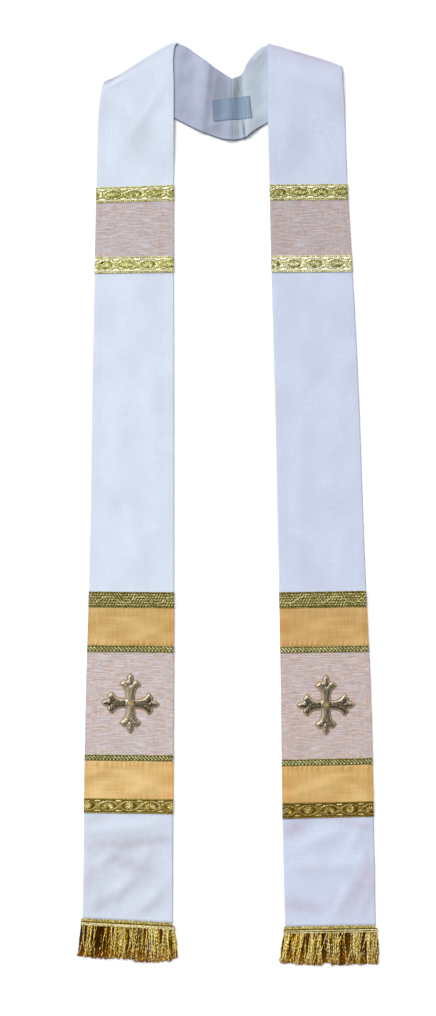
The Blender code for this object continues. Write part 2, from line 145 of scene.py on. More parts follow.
camera_data = bpy.data.cameras.new("camera")
camera_data.lens = LENS
camera_data.sensor_width = SENSOR
camera = bpy.data.objects.new("camera", camera_data)
height_shown = PHOTO_HEIGHT * MM_PER_PIXEL * MM
across_shift = (PHOTO_WIDTH / 2 - PHOTO_CENTRE[0]) * MM_PER_PIXEL * MM
along_shift = (PHOTO_CENTRE[1] - PHOTO_HEIGHT / 2) * MM_PER_PIXEL * MM
camera.location = (across_shift, along_shift, height_shown * LENS / SENSOR)
bpy.context.scene.collection.objects.link(camera)
bpy.context.scene.camera = camera
bpy.context.scene.view_settings.view_transform = "Standard"

GLOW_FROM = (-0.34, 0.59, 0.73)
GLOW_FALL, GLOW, DIM_SKY = 3.0, 1.4, 0.13
world = bpy.data.worlds.new("soft_studio")
world.use_nodes = True
sky = world.node_tree
direction = add(sky, "ShaderNodeTexCoord").outputs["Generated"]
toward = {0: direction, 1: GLOW_FROM}
toward = add(sky, "ShaderNodeVectorMath", toward, operation="DOT_PRODUCT").outputs["Value"]
facing = add(sky, "ShaderNodeMath", {0: toward, 1: 0.0}, operation="MAXIMUM")
lobe = add(sky, "ShaderNodeMath", {0: facing, 1: GLOW_FALL}, operation="POWER")
strength = add(sky, "ShaderNodeMath", {0: lobe, 1: GLOW, 2: DIM_SKY}, operation="MULTIPLY_ADD")
connect(sky, sky.nodes["Background"], {"Color": "#FFFFFF", "Strength": strength})
bpy.context.scene.world = world

SunLight = namedtuple("SunLight", "name energy softness towards")
SUN_LIGHTS = (
    SunLight("broad_sun", 1.45, 60, (0.40, -0.38, -0.83)),
    SunLight("small_sun", 0.75, 14, (0.42, -0.50, -0.76)),
)
for light in SUN_LIGHTS:
    data = bpy.data.lights.new(light.name, "SUN")
    data.energy = light.energy
    data.angle = math.radians(light.softness)
    sun = bpy.data.objects.new(light.name, data)
    sun.rotation_euler = Vector(light.towards).to_track_quat("-Z", "Y").to_euler()
    bpy.context.scene.collection.objects.link(sun)

FLOOR_HALF, FLOOR_GAP = 30.0, 0.02 * MM
floor_paint, tree = start_material("floor_white_matt_paint")
grain = add(tree, "ShaderNodeTexNoise", {"Scale": 6.0, "Detail": 2.0})
tones = add(tree, "ShaderNodeMix", {"Factor": grain, "A": "#FAFAFA", "B": "#FFFFFF"}, data_type="RGBA")
connect(tree, tree.nodes["Principled BSDF"], {"Base Color": tones, "Roughness": 0.9})
floor_mesh = bpy.data.meshes.new("floor")
ways = ((-1, -1), (1, -1), (1, 1), (-1, 1))
corners = [(x * FLOOR_HALF, y * FLOOR_HALF, 0) for x, y in ways]
floor_mesh.from_pydata(corners, [], [(0, 1, 2, 3)])
floor_mesh.materials.append(floor_paint)
floor = bpy.data.objects.new("floor", floor_mesh)
floor.location.z = -FLOOR_GAP
bpy.context.scene.collection.objects.link(floor)
floor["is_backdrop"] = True
print("camera height", round(camera.location.z, 3), "m over a view", round(height_shown, 3), "m long")

# %% [markdown]
# The stole's outline follows from a few short tables, in millimetres of the shared frame. They repeat
# what the solids were cut to: the panels' side edges, the lines where one piece on a panel meets the
# next, and the neck band's lines from the shoulder fold to the centre-back seam. A row read from a table
# by a smooth curve keeps the edges free of corners.
# %% Sizes and tables of the cut
MAIN_CLOTH = 2.0
FOLD_INNER_RADIUS = 0.8
PANEL_LIFT = MAIN_CLOTH + 2 * FOLD_INNER_RADIUS
DROP_START = 5.0
DROP_LENGTH = 95.0
BULGE_FADE = 5 / 3


def rows_of(kind, *rows):
    """A table's rows, each given as its values in the order of the kind's names."""
    return tuple(kind(*row) for row in rows)


Corners = namedtuple("Corners", "outer inner")
SHOULDER = {
    "left": Corners((-177.2, 599.6), (-72.4, 655.6)),
    "right": Corners((161.6, 620.2), (56.4, 653.0)),
}

Bulge = namedtuple("Bulge", "along left right")
FOLD_BULGE = rows_of(
    Bulge,
    (0.00, 0.0, 0.0),
    (0.15, -2.6, 1.4),
    (0.30, -0.8, 2.0),
    (0.50, 1.2, 1.6),
    (0.70, 2.8, 1.2),
    (0.88, 3.2, 0.8),
    (1.00, 0.0, 0.0),
)

PanelEdge = namedtuple("PanelEdge", "y left_outer left_inner right_inner right_outer")
PANEL_EDGES = rows_of(
    PanelEdge,
    (-612.0, -207.5, -78.9, 80.8, 209.4),
    (-492.0, -205.4, -78.5, 77.9, 207.2),
    (-421.0, -204.7, -78.3, 76.6, 205.8),
    (-279.0, -202.2, -77.6, 74.9, 202.4),
    (-137.0, -198.2, -76.9, 72.4, 196.2),
    (5.0, -195.4, -76.9, 69.4, 190.6),
    (147.0, -193.3, -76.9, 66.3, 185.6),
    (289.0, -190.6, -77.2, 62.3, 178.7),
    (360.0, -189.1, -77.6, 60.6, 174.4),
    (431.0, -187.7, -77.4, 59.0, 170.2),
    (502.0, -186.2, -76.9, 57.2, 167.3),
    (544.0, -184.8, -76.9, 56.6, 165.9),
    (573.0, -182.0, -76.9, 56.6, 164.5),
    (596.0, -178.0, -76.9, 56.6, 162.6),
    (640.0, -177.4, -76.9, 56.4, 161.8),
    (660.0, -177.4, -72.6, 56.2, 161.8),
)

PieceLine = namedtuple("PieceLine", "piece left_outer left_inner right_outer right_inner")
PIECE_LINES = rows_of(
    PieceLine,
    ("upper_braid_1", 447.9, 451.8, 453.3, 452.3),
    ("upper_panel", 426.2, 429.5, 431.2, 429.5),
    ("upper_braid_2", 349.5, 350.5, 352.4, 351.2),
    ("plain_middle", 326.2, 327.9, 328.5, 327.9),
    ("wide_braid_1", -124.9, -125.9, -123.9, -126.0),
    ("gold_band_1", -147.2, -148.7, -146.8, -148.9),
    ("narrow_braid_1", -200.9, -202.4, -201.6, -203.3),
    ("cross_panel", -210.8, -211.8, -210.8, -212.5),
    ("narrow_braid_2", -356.1, -357.2, -360.8, -363.6),
    ("gold_band_2", -364.7, -366.3, -370.7, -373.1),
    ("wide_braid_2", -417.8, -419.4, -422.5, -424.9),
    ("plain_hem", -438.7, -440.7, -443.7, -447.8),
    ("fringe", -589.2, -595.8, -598.9, -601.2),
)
LINE_OF = {line.piece: line for line in PIECE_LINES}
NEXT_LINE = dict(zip([line.piece for line in PIECE_LINES], PIECE_LINES[1:]))

NeckLine = namedtuple("NeckLine", "top_x top_y bottom_x bottom_y")
SEAM = NeckLine(5.0, 602.6, 6.6, 514.4)
SEAM_GAP = 0.3
NECK_LINES = {
    "left": (
        NeckLine(-59.9, 648.6, -139.4, 579.3),
        NeckLine(-47.1, 639.4, -103.9, 560.6),
        NeckLine(-35.7, 631.1, -72.6, 543.8),
        NeckLine(-25.8, 623.6, -44.2, 529.2),
        NeckLine(-17.3, 617.6, -24.4, 521.4),
        NeckLine(-6.6, 610.5, -8.0, 516.1),
    ),
    "right": (
        NeckLine(47.4, 647.7, 127.6, 594.9),
        NeckLine(38.1, 639.9, 93.5, 567.2),
        NeckLine(31.3, 631.8, 63.7, 544.0),
        NeckLine(26.5, 624.0, 45.9, 533.3),
        NeckLine(22.2, 614.8, 33.9, 525.4),
        NeckLine(17.5, 608.4, 23.2, 517.6),
    ),
}


def smooth_read(places, values, at):
    """Values read from a table by a curve that passes smoothly through its rows."""
    places, values = np.array(places, float), np.array(values, float)
    slopes = np.gradient(values, places)
    index = np.clip(np.searchsorted(places, at) - 1, 0, len(places) - 2)
    length = places[index + 1] - places[index]
    t = np.clip((at - places[index]) / length, 0.0, 1.0)
    start = (2 * t**3 - 3 * t**2 + 1) * values[index] + (t**3 - 2 * t**2 + t) * length * slopes[index]
    end = (3 * t**2 - 2 * t**3) * values[index + 1] + (t**3 - t**2) * length * slopes[index + 1]
    return start + end


def edge_x(y, column):
    return smooth_read([row.y for row in PANEL_EDGES], [getattr(row, column) for row in PANEL_EDGES], y)


def mix(a, b, share):
    return a + (b - a) * share


def smooth_step(value):
    value = np.clip(value, 0.0, 1.0)
    return value * value * (3.0 - 2.0 * value)


print("pieces on each panel:", len(PIECE_LINES) - 3)

# %% [markdown]
# Cloth that lies flat is never quite flat. Soft ridges run where the interlining has buckled, the turned side
# edges show through as faint lines, and the curved neck band stands in low waves because it is forced flat.
# Each ridge is a soft oval given in a table: where it lies, which way it runs, how long and wide it is,
# and how far it rises. A little smooth noise keeps the stretches between them alive. Ridges only rise, so
# that the underside stays on the floor.
# %% Soft ridges of the panels and the neck band
Spot = namedtuple("Spot", "x y direction length width amount")
PANEL_CREASES = rows_of(
    Spot,
    (-160, 595.5, 28, 15, 2.8, 1.5),
    (-150, 560, -32, 46, 11, 1),
    (-112, 560, 58, 46, 7, 0.9),
    (-160, 490, 84, 50, 12, 0.7),
    (-135, 270, 88, 120, 16, 0.9),
    (-108, 120, 92, 150, 13, 0.8),
    (-160, 40, 86, 120, 14, 0.9),
    (-130, -60, 94, 70, 15, 0.8),
    (-165, -176, 12, 36, 8, 0.6),
    (-112, -186, 24, 32, 7, 0.9),
    (-120, -404, 30, 34, 8, 1),
    (-186, -382, 22, 26, 7, 0.8),
    (-150, -462, 6, 66, 8, 1.3),
    (-172, -503, 40, 30, 8, 1.5),
    (-124, -508, 52, 40, 10, 1.6),
    (-150, -545, 34, 34, 8, 1.5),
    (-104, -556, 48, 30, 8, 1.4),
    (-190, -566, 96, 26, 8, 1.1),
    (110, 598, -19, 60, 12, 0.8),
    (84, 530, 84, 60, 11, 0.6),
    (140, 500, 96, 60, 13, 0.7),
    (110, 240, 86, 130, 15, 0.9),
    (150, 100, 83, 150, 14, 0.9),
    (100, -10, 88, 120, 13, 0.8),
    (160, -70, 80, 60, 12, 0.7),
    (120, -178, -14, 40, 8, 0.7),
    (178, -182, 26, 26, 7, 0.6),
    (130, -402, 16, 42, 8, 0.8),
    (186, -394, -40, 30, 6, 1),
    (196, -404, -44, 24, 5, 0.8),
    (130, -476, 22, 46, 10, 1.5),
    (150, -515, 4, 60, 11, 1.5),
    (184, -470, 62, 30, 8, 1.2),
    (112, -560, 118, 30, 8, 1.3),
    (160, -566, 60, 34, 9, 1.4),
    (196, -560, 70, 30, 7, 1.2),
)
TURNED_EDGE, TURNED_EDGE_WIDTH, TURNED_EDGE_RISE = 7.5, 1.3, 0.22
CLOTH_WAVE, CLOTH_WAVE_LENGTH = 0.45, 30.0


def spots_at(spots, x, y):
    """The sum of all soft ovals at each place."""
    total = np.zeros_like(x)
    for spot in spots:
        turn = math.radians(spot.direction)
        along = (x - spot.x) * math.cos(turn) + (y - spot.y) * math.sin(turn)
        across = (y - spot.y) * math.cos(turn) - (x - spot.x) * math.sin(turn)
        total += spot.amount * np.exp(-((along / spot.length) ** 2) - (across / spot.width) ** 2)
    return total


def panel_rise(side, x, y):
    """How far the panel's cloth stands up from its flat form, for arrays of places."""
    own = [crease for crease in PANEL_CREASES if (crease.x > 0) == (side == "right")]
    rise = spots_at(own, x, y)
    for column in (side + "_outer", side + "_inner"):
        inside = np.abs(x - edge_x(y, column))
        rise += TURNED_EDGE_RISE * np.exp(-(((inside - TURNED_EDGE) / TURNED_EDGE_WIDTH) ** 2))
    places = zip(x.ravel().tolist(), y.ravel().tolist())
    waves = [noise.noise(Vector((px, py, 7.0)) / CLOTH_WAVE_LENGTH) for px, py in places]
    return rise + CLOTH_WAVE * (1 + np.array(waves).reshape(x.shape)) / 2


Ridge = namedtuple("Ridge", "top_x bottom_x top_height bottom_height left_width right_width")
NECK_RIDGES = (
    Ridge(-31, -40, 3.3, 1.8, 20, 12),
    Ridge(2, 4, 3, 2.2, 15, 15),
    Ridge(24, 30, 3.6, 2.6, 5, 24),
)
NECK_PINCHES = rows_of(
    Spot,
    (9, 594, -58, 15, 2, 1.4),
    (14.5, 588, -66, 18, 1.8, 1.3),
    (8, 578, -80, 16, 1.6, 0.7),
    (21.5, 524, 97, 14, 2.4, 1.9),
    (26, 518, 84, 9, 2.2, 0.9),
    (-52, 560, 70, 26, 8, 0.9),
    (-58, 610, 40, 22, 8, 0.8),
    (-22, 536, 30, 22, 6, 0.9),
    (44, 634, 54, 12, 4, 1.1),
    (48, 628, 60, 10, 3, 0.9),
)


def neck_rise(x, y):
    """Height of the neck band over the floor: its ridges, and the small pinches beside the seam."""
    depth = (SEAM.top_y - y) / (SEAM.top_y - SEAM.bottom_y)
    rise = spots_at(NECK_PINCHES, x, y)
    for ridge in NECK_RIDGES:
        centre = mix(ridge.top_x, ridge.bottom_x, depth)
        height = mix(ridge.top_height, ridge.bottom_height, depth)
        width = np.where(x < centre, ridge.left_width, ridge.right_width)
        rise += height * (1 + np.cos(np.pi * np.minimum(np.abs(x - centre) / width, 1.0))) / 2
    return rise


print("hand-placed ridges:", len(PANEL_CREASES) + len(NECK_RIDGES) + len(NECK_PINCHES))

# %% [markdown]
# One half of the stole is one strip. It could be modelled as separate panel, fold and neck meshes, but
# then light would catch their joins. Here its rows run from the hem up the panel, turn from level to
# slanting at the shoulder, go round the fold and on to the seam, and every row knows which way its right
# side faces. The same rows, moved out by a thickness, later carry the lining.
# %% Rows of one half: panel, shoulder, fold, neck band
ACROSS = 45
ROW_LENGTH = 4.0
FOLD_CALM = 3
SHOULDER_ROWS = 52
FOLD_STEPS = 14
NECK_STEPS = 12
UP = np.array((0.0, 0.0, 1.0))

Rows = namedtuple("Rows", "at facing")


def fold_outward(side):
    corners = SHOULDER[side]
    line = np.subtract(corners.inner, corners.outer)
    outward = np.array((-line[1], line[0], 0.0)) / np.hypot(*line)
    return outward if outward[1] > 0 else -outward


def fold_bulge(side, share):
    return smooth_read([row.along for row in FOLD_BULGE], [getattr(row, side) for row in FOLD_BULGE], share)


def fold_axis(side, shares):
    corners = SHOULDER[side]
    points = np.zeros((len(shares), 3))
    for axis in (0, 1):
        points[:, axis] = mix(corners.outer[axis], corners.inner[axis], shares)
    outer_radius = FOLD_INNER_RADIUS + MAIN_CLOTH
    return points + np.outer(fold_bulge(side, shares) - outer_radius, fold_outward(side))


def neck_lines(side, gap=SEAM_GAP):
    """The neck band's lines as an array of top x, top y, bottom x, bottom y, smoothly read from its table."""
    ends = fold_axis(side, np.array((1.0, 0.0)))
    back = gap / 2 if side == "right" else -gap / 2
    table = [(ends[0, 0], ends[0, 1], ends[1, 0], ends[1, 1])]
    table += [tuple(line) for line in NECK_LINES[side]]
    table.append((SEAM.top_x + back, SEAM.top_y, SEAM.bottom_x + back, SEAM.bottom_y))
    table = np.array(table)
    stations = np.arange(len(table))
    wanted = np.linspace(0, len(table) - 1, (len(table) - 1) * NECK_STEPS + 1)
    return np.stack([smooth_read(stations, table[:, column], wanted) for column in range(4)], axis=1)


NECK_EDGES = {side: neck_lines(side)[:, 2:] for side in SIDES}


def panel_rows(side, outer_y, inner_y, shares, bulge=0.0):
    """Rows across a panel, from arrays of the heights of their two ends."""
    outer_y, inner_y = np.array(outer_y, float)[:, None], np.array(inner_y, float)[:, None]
    bulge = np.broadcast_to(bulge, outer_y.shape)
    y = mix(outer_y, inner_y, shares)
    x = mix(edge_x(outer_y, side + "_outer"), edge_x(inner_y, side + "_inner"), shares)
    push = bulge * fold_bulge(side, shares)
    outward = fold_outward(side)
    x, y = x + push * outward[0], y + push * outward[1]
    edge = NECK_EDGES[side][np.argsort(NECK_EDGES[side][:, 0])]
    past_neck = np.interp(x, edge[:, 0], edge[:, 1]) - y
    lift = PANEL_LIFT * (1 - smooth_step((past_neck - DROP_START) / DROP_LENGTH))
    z = MAIN_CLOTH / 2 + lift + panel_rise(side, x, y) * smooth_step((1 - bulge) * FOLD_CALM)
    return Rows(np.stack((x, y, z), axis=2), np.broadcast_to(UP, (*x.shape, 3)))


def fold_rows(side, shares):
    """Rows round the shoulder fold, from the panel on top to the neck band below."""
    axis = fold_axis(side, shares) + UP * (MAIN_CLOTH + FOLD_INNER_RADIUS)
    angles = np.pi * (0.5 - np.arange(FOLD_STEPS + 1) / FOLD_STEPS)
    facing = np.outer(np.cos(angles), fold_outward(side)) + np.outer(np.sin(angles), UP)
    facing = np.broadcast_to(facing[:, None, :], (len(angles), len(shares), 3))
    return Rows(axis[None] + facing * (FOLD_INNER_RADIUS + MAIN_CLOTH / 2), facing)


def neck_rows(side, lines, shares):
    """Rows across the neck band; share 0 is its bottom edge, and its right side faces down."""
    number = np.arange(len(lines))[:, None] / NECK_STEPS
    fade = np.maximum(0.0, 1 - number / BULGE_FADE) ** 2 * fold_bulge(side, shares)
    outward = fold_outward(side)
    x = mix(lines[:, 2:3], lines[:, 0:1], shares) + fade * outward[0]
    y = mix(lines[:, 3:4], lines[:, 1:2], shares) + fade * outward[1]
    z = MAIN_CLOTH / 2 + neck_rise(x, y)
    return Rows(np.stack((x, y, z), axis=2), np.broadcast_to(-UP, (*x.shape, 3)))


def strip_rows(side, shares):
    """All rows of one half, from the hem over the shoulder to the centre-back seam."""
    hem, first = PIECE_LINES[-1], PIECE_LINES[0]
    outer, inner = side + "_outer", side + "_inner"
    stations = [getattr(line, outer) for line in reversed(PIECE_LINES)]
    partners = [getattr(line, inner) for line in reversed(PIECE_LINES)]
    count = round((getattr(first, outer) - getattr(hem, outer)) / ROW_LENGTH)
    outer_y = np.linspace(stations[0], stations[-1], count + 1)
    flat = panel_rows(side, outer_y, np.interp(outer_y, stations, partners), shares)
    axis = fold_axis(side, np.array((0.0, 1.0)))
    turn = np.arange(1, SHOULDER_ROWS) / SHOULDER_ROWS
    top_outer = mix(getattr(first, outer), axis[0, 1], turn)
    top_inner = mix(getattr(first, inner), axis[1, 1], turn)
    shoulder = panel_rows(side, top_outer, top_inner, shares, bulge=(turn**3)[:, None])
    neck = neck_rows(side, neck_lines(side), shares)
    parts = (flat, shoulder, fold_rows(side, shares), Rows(neck.at[1:], neck.facing[1:]))
    return Rows(np.concatenate([part.at for part in parts]), np.concatenate([part.facing for part in parts]))


# %% [markdown]
# Every cloth here has two faces, a thickness and turned side edges, so one function makes them all. It
# takes the rows, moves them out to an under and an upper face, rounds the two side edges and closes the
# ends. It also lays a UV map named cloth on the piece, in metres along and across the cloth, so that a
# weave keeps its real size and follows the folds.
# %% A closed shell from rows
EDGE_ANGLES = np.radians((-55.0, 0.0, 55.0))


def make_object(name, mesh, materials):
    for material in materials:
        mesh.materials.append(material)
    obj = bpy.data.objects.new(name, mesh)
    bpy.context.scene.collection.objects.link(obj)
    return obj


def side_edge(rows, column, inner_column, lower, upper):
    """The rounded edge at one side: three points on an arc, and how far the faces draw back from it."""
    outward = rows.at[:, column] - rows.at[:, inner_column]
    outward = outward / np.linalg.norm(outward, axis=1, keepdims=True)
    facing = rows.facing[:, column]
    radius = ((upper - lower) / 2)[:, column][:, None]
    middle = rows.at[:, column] + facing * ((upper + lower) / 2)[:, column][:, None]
    centre = middle - outward * radius
    arc = [centre + radius * (outward * math.cos(a) + facing * math.sin(a)) for a in EDGE_ANGLES]
    return np.stack(arc, axis=1), -outward * radius


def end_faces(base, columns, over_at, ring):
    """Faces that close one end of a shell."""
    faces = []
    for column in range(columns - 1):
        faces.append([base + column, base + column + 1, base + over_at[column + 1], base + over_at[column]])
    faces.append([base + columns - 1, *range(base + columns, base + over_at[-1]), base + over_at[-1]])
    faces.append([base + over_at[0], *range(base + over_at[0] + 1, base + ring), base])
    return faces


def shell(name, rows, lower, upper, materials):
    """A closed cloth piece between two distances from its rows, with UVs in metres."""
    count, columns = rows.at.shape[:2]
    lower = np.broadcast_to(lower, (count, columns)).astype(float)
    upper = np.broadcast_to(upper, (count, columns)).astype(float)
    under = rows.at + rows.facing * lower[..., None]
    over = rows.at + rows.facing * upper[..., None]
    far_arc, far_pull = side_edge(rows, -1, -2, lower, upper)
    near_arc, near_pull = side_edge(rows, 0, 1, lower, upper)
    for face in (under, over):
        face[:, -1] += far_pull
        face[:, 0] += near_pull
    rings = np.concatenate((under, far_arc, over[:, ::-1], near_arc[:, ::-1]), axis=1)
    ring = rings.shape[1]
    start = np.arange(count - 1)[:, None] * ring
    step = np.arange(ring)[None]
    after = (step + 1) % ring
    quads = np.stack((start + step, start + after, start + ring + after, start + ring + step), axis=2)
    extra = len(EDGE_ANGLES)
    over_at = [2 * columns + extra - 1 - column for column in range(columns)]
    faces = quads.reshape(-1, 4).tolist()
    faces += [face[::-1] for face in end_faces(0, columns, over_at, ring)]
    faces += end_faces((count - 1) * ring, columns, over_at, ring)
    mesh = bpy.data.meshes.new(name)
    mesh.from_pydata((rings.reshape(-1, 3) * MM).tolist(), [], faces)
    middle = rows.at[:, columns // 2]
    along = np.concatenate(([0.0], np.cumsum(np.linalg.norm(np.diff(middle, axis=0), axis=1))))
    steps = np.linalg.norm(np.diff(rows.at, axis=1), axis=2)
    across = np.concatenate((np.zeros((count, 1)), np.cumsum(steps, axis=1)), axis=1)
    across = across - across[:, -1:] / 2
    ends = [np.repeat(across[:, column][:, None], extra, axis=1) for column in (-1, 0)]
    ring_across = np.concatenate((across, ends[0], across[:, ::-1], ends[1]), axis=1)
    places = np.stack((ring_across, np.broadcast_to(along[:, None], ring_across.shape)), axis=2)
    places = places.reshape(-1, 2) * MM
    corners = np.zeros(len(mesh.loops), dtype=int)
    mesh.loops.foreach_get("vertex_index", corners)
    mesh.uv_layers.new(name="cloth").data.foreach_set("uv", places[corners].ravel())
    if len(materials) > 1:
        is_under = (np.arange(ring) < columns - 1).astype(int)
        kinds = np.concatenate((np.tile(is_under, count - 1), np.zeros(len(faces) - (count - 1) * ring, int)))
        mesh.polygons.foreach_set("material_index", kinds)
    mesh.shade_smooth()
    obj = make_object(name, mesh, materials)
    shape = bmesh.new()
    shape.from_mesh(mesh)
    bmesh.ops.recalc_face_normals(shape, faces=shape.faces)
    shape.to_mesh(mesh)
    shape.free()
    return obj


def area_of(obj):
    """Half the surface of a closed cloth piece, in square metres."""
    return sum(face.area for face in obj.data.polygons) / 2


# %% [markdown]
# Soft darker places on the cloth are painted shade: the shade of its folds, creases and troughs, and of
# the soft waves near the hem, put into its colour. They are given as soft ovals again, and kept on the
# mesh as an attribute that the finishes read.
# %% Painted shade of folds and troughs
# Painted shade on the linen: the right shoulder's fold line, troughs, and soft waves near the hems.
PAINTED_SHADE_CLOTH = rows_of(
    Spot,
    (109, 635.5, -17.3, 70, 2.6, 0.62),
    (112, 628, -17.3, 70, 8, 0.22),
    (-165, 601.5, 29, 13, 2, 0.95),
    (-128, 622, 30, 50, 2, 0.35),
    (-128, 520, 80, 60, 12, 0.12),
    (-150, -483, 4, 62, 8, 0.42),
    (-104, -476, 8, 24, 7, 0.26),
    (-140, -512, -20, 34, 9, 0.3),
    (-196, -530, 80, 34, 7, 0.3),
    (-182, -568, 30, 22, 8, 0.36),
    (-112, -574, 24, 30, 8, 0.34),
    (-152, -562, 64, 16, 5, 0.26),
    (-190, -448, 10, 20, 6, 0.2),
    (98, -458, 34, 26, 10, 0.56),
    (176, -455, -10, 34, 6, 0.4),
    (190, -545, 62, 36, 15, 0.52),
    (198, -500, 84, 24, 7, 0.34),
    (104, -572, -8, 34, 11, 0.46),
    (150, -560, 70, 18, 7, 0.3),
    (110, -520, 10, 26, 7, 0.2),
    (116, 440, 90, 60, 34, 0.1),
    (-140, -510, 0, 90, 75, 0.26),
)
# Painted shade on the neck lining: troughs beside the seam and the neck band's folds.
PAINTED_SHADE_LINING = rows_of(
    Spot,
    (-14, 590, 86, 34, 9, 1),
    (-3, 588, 88, 30, 7, 0.55),
    (-8, 562, 84, 30, 11, 0.4),
    (-19, 566, 84, 24, 8, 0.25),
    (12, 590, 80, 28, 6.2, 0.85),
    (14.5, 566, 90, 24, 4.5, 0.45),
    (19.2, 590, 92, 24, 1.2, 0.4),
    (9, 530, 92, 22, 9, 0.4),
    (22, 530, 97, 18, 2.2, 0.8),
    (-68, 604, 80, 16, 8, 0.45),
    (-60, 636, 60, 10, 7, 0.45),
    (-64, 562, 70, 16, 12, 0.35),
    (-40, 546, -28, 30, 12, 0.32),
    (-10, 527, -8, 30, 10, 0.4),
    (-44, 590, 80, 50, 22, 0.16),
    (46, 634, 50, 11, 5, 0.4),
    (40, 540, 30, 22, 8, 0.25),
)


def note_painted_shade(obj, spots):
    """Keep on the mesh how deep the painted shade is at each point."""
    x, y = coordinates(obj)[:, 0] / MM, coordinates(obj)[:, 1] / MM
    depth = np.minimum(spots_at(spots, x, y), 1.0)
    obj.data.attributes.new("greyed", "FLOAT", "POINT").data.foreach_set("value", depth)


def coordinates(obj):
    flat = np.zeros(len(obj.data.vertices) * 3)
    obj.data.vertices.foreach_get("co", flat)
    return flat.reshape(-1, 3)


# %% [markdown]
# The white cloth is a plain-woven linen-look polyester: matt, with slubs, the thick places in the yarn,
# that run both ways as faint darker and lighter dashes. Real threads are about 0.5 mm apart, finer than a
# pixel of the photograph, so the weave here is drawn at 1.2 mm and the slubs longer and wider, to show at
# this scale. Noise stretched along each thread direction gives the slubs, and a product of two sines the
# over and under of the plain weave for the bump.
# %% White linen-look cloth
THREAD = 1.2


def slubs(tree, across, along, detail=3.0):
    """Noise drawn out along a thread, with the mean dash's size across and along it in millimetres."""
    place = add(tree, "ShaderNodeUVMap", uv_map="cloth")
    drawn_out = {"Vector": place, "Scale": (1 / (across * MM), 1 / (along * MM), 1.0)}
    stretched = add(tree, "ShaderNodeMapping", drawn_out)
    return add(tree, "ShaderNodeTexNoise", {"Vector": stretched, "Scale": 1.0, "Detail": detail})


def plain_weave(tree, thread):
    """A height that rises where the threads cross over each other."""
    place = add(tree, "ShaderNodeUVMap", uv_map="cloth")
    parts = add(tree, "ShaderNodeSeparateXYZ", {0: place})
    waves = []
    for axis in (0, 1):
        turns = {0: parts.outputs[axis], 1: math.pi / (thread * MM)}
        turns = add(tree, "ShaderNodeMath", turns, operation="MULTIPLY")
        waves.append(add(tree, "ShaderNodeMath", {0: turns}, operation="SINE"))
    return add(tree, "ShaderNodeMath", {0: waves[0], 1: waves[1]}, operation="MULTIPLY")


def white_linen(name, light, dark, lilac, painted_shade_colour):
    """Matt linen look: roughness is high, and a trace of sheen stands for the fibre ends."""
    material, tree = start_material(name)
    both = add(tree, "ShaderNodeMath", {0: slubs(tree, 1.6, 22), 1: slubs(tree, 26, 1.7)}, operation="ADD")
    tone = overlay(tree, dark, light, both, 0.7, 1.3)
    tone = overlay(tree, tone, lilac, slubs(tree, 46, 64, 1.0), 0.36, 0.68, 0.7)
    # Painted shade: the colour turns towards the last colour where the mesh's painted shade is deep, broken up
    # by noise.
    greyed = add(tree, "ShaderNodeAttribute", attribute_name="greyed").outputs["Fac"]
    broken = {0: slubs(tree, 13, 11, 2.0), 1: 1.1, 2: 0.45}
    broken = add(tree, "ShaderNodeMath", broken, operation="MULTIPLY_ADD")
    depth = add(tree, "ShaderNodeMath", {0: greyed, 1: broken}, operation="MULTIPLY")
    tone = add(tree, "ShaderNodeMix", {"Factor": depth, "A": tone, "B": painted_shade_colour}, data_type="RGBA")
    height = {0: both, 1: 6.0, 2: plain_weave(tree, THREAD)}
    height = add(tree, "ShaderNodeMath", height, operation="MULTIPLY_ADD")
    looks = {"Roughness": 0.86, "Sheen Weight": 0.12, "Sheen Roughness": 0.5}
    dress(tree, tone, height, 0.032, 0.8, looks)
    return material


# The last colour of each is the painted shade colour that folds and troughs darken towards.
linen = {
    "left": white_linen("white_linen_weave_left", "#D6E0EF", "#CAD5E5", "#C8D0DE", "#AEA6B2"),
    "right": white_linen("white_linen_weave_right", "#CBD4E8", "#BEC8DD", "#BFC4D8", "#B2A2B4"),
}

# %% [markdown]
# The lining is a finer, smoother cloth. Light rubs along it with a soft sheen, and it reads a little
# darker than the linen beside it: lilac grey on the left half and greener grey on the right. Weave and
# slubs are smaller, and the sheen is stronger.
# %% Lining cloth
LINING_THREAD = 0.8


def lining_cloth(name, light, dark, painted_shade_colour):
    """A finer cloth in soft patches, with a trace of its threads and its painted shade."""
    material, tree = start_material(name)
    tone = overlay(tree, dark, light, slubs(tree, 22, 34, 2.0), 0.3, 0.72)
    threads = {"Factor": slubs(tree, 1.0, 14), "A": "#9298AC", "B": "#D4D8E4"}
    threads = add(tree, "ShaderNodeMix", threads, data_type="RGBA")
    tone = add(tree, "ShaderNodeMix", {"Factor": 0.14, "A": tone, "B": threads}, data_type="RGBA")
    # Painted shade: the colour turns towards the last colour where the mesh's painted shade is deep.
    greyed = add(tree, "ShaderNodeAttribute", attribute_name="greyed").outputs["Fac"]
    tone = add(tree, "ShaderNodeMix", {"Factor": greyed, "A": tone, "B": painted_shade_colour}, data_type="RGBA")
    looks = {"Roughness": 0.6, "Sheen Weight": 0.25}
    dress(tree, tone, plain_weave(tree, LINING_THREAD), 0.05, 0.6, looks)
    return material


# The last colour of each is the painted shade colour that folds and troughs darken towards.
lining = {
    "left": lining_cloth("lilac_grey_lining_left", "#B1B8D0", "#9FA5BE", "#838B9D"),
    "right": lining_cloth("green_grey_lining_right", "#BECDD8", "#A9B7C6", "#828A97"),
}

# %% Build the two halves
SHARES = np.linspace(0.0, 1.0, ACROSS)
strips = {}
for side in SIDES:
    half = MAIN_CLOTH / 2
    strips[side] = shell(f"cloth_{side}", strip_rows(side, SHARES), -half, half, [linen[side], lining[side]])
    note_painted_shade(strips[side], PAINTED_SHADE_CLOTH)
    print(strips[side].name, len(strips[side].data.polygons), "faces, area", round(area_of(strips[side]), 4))

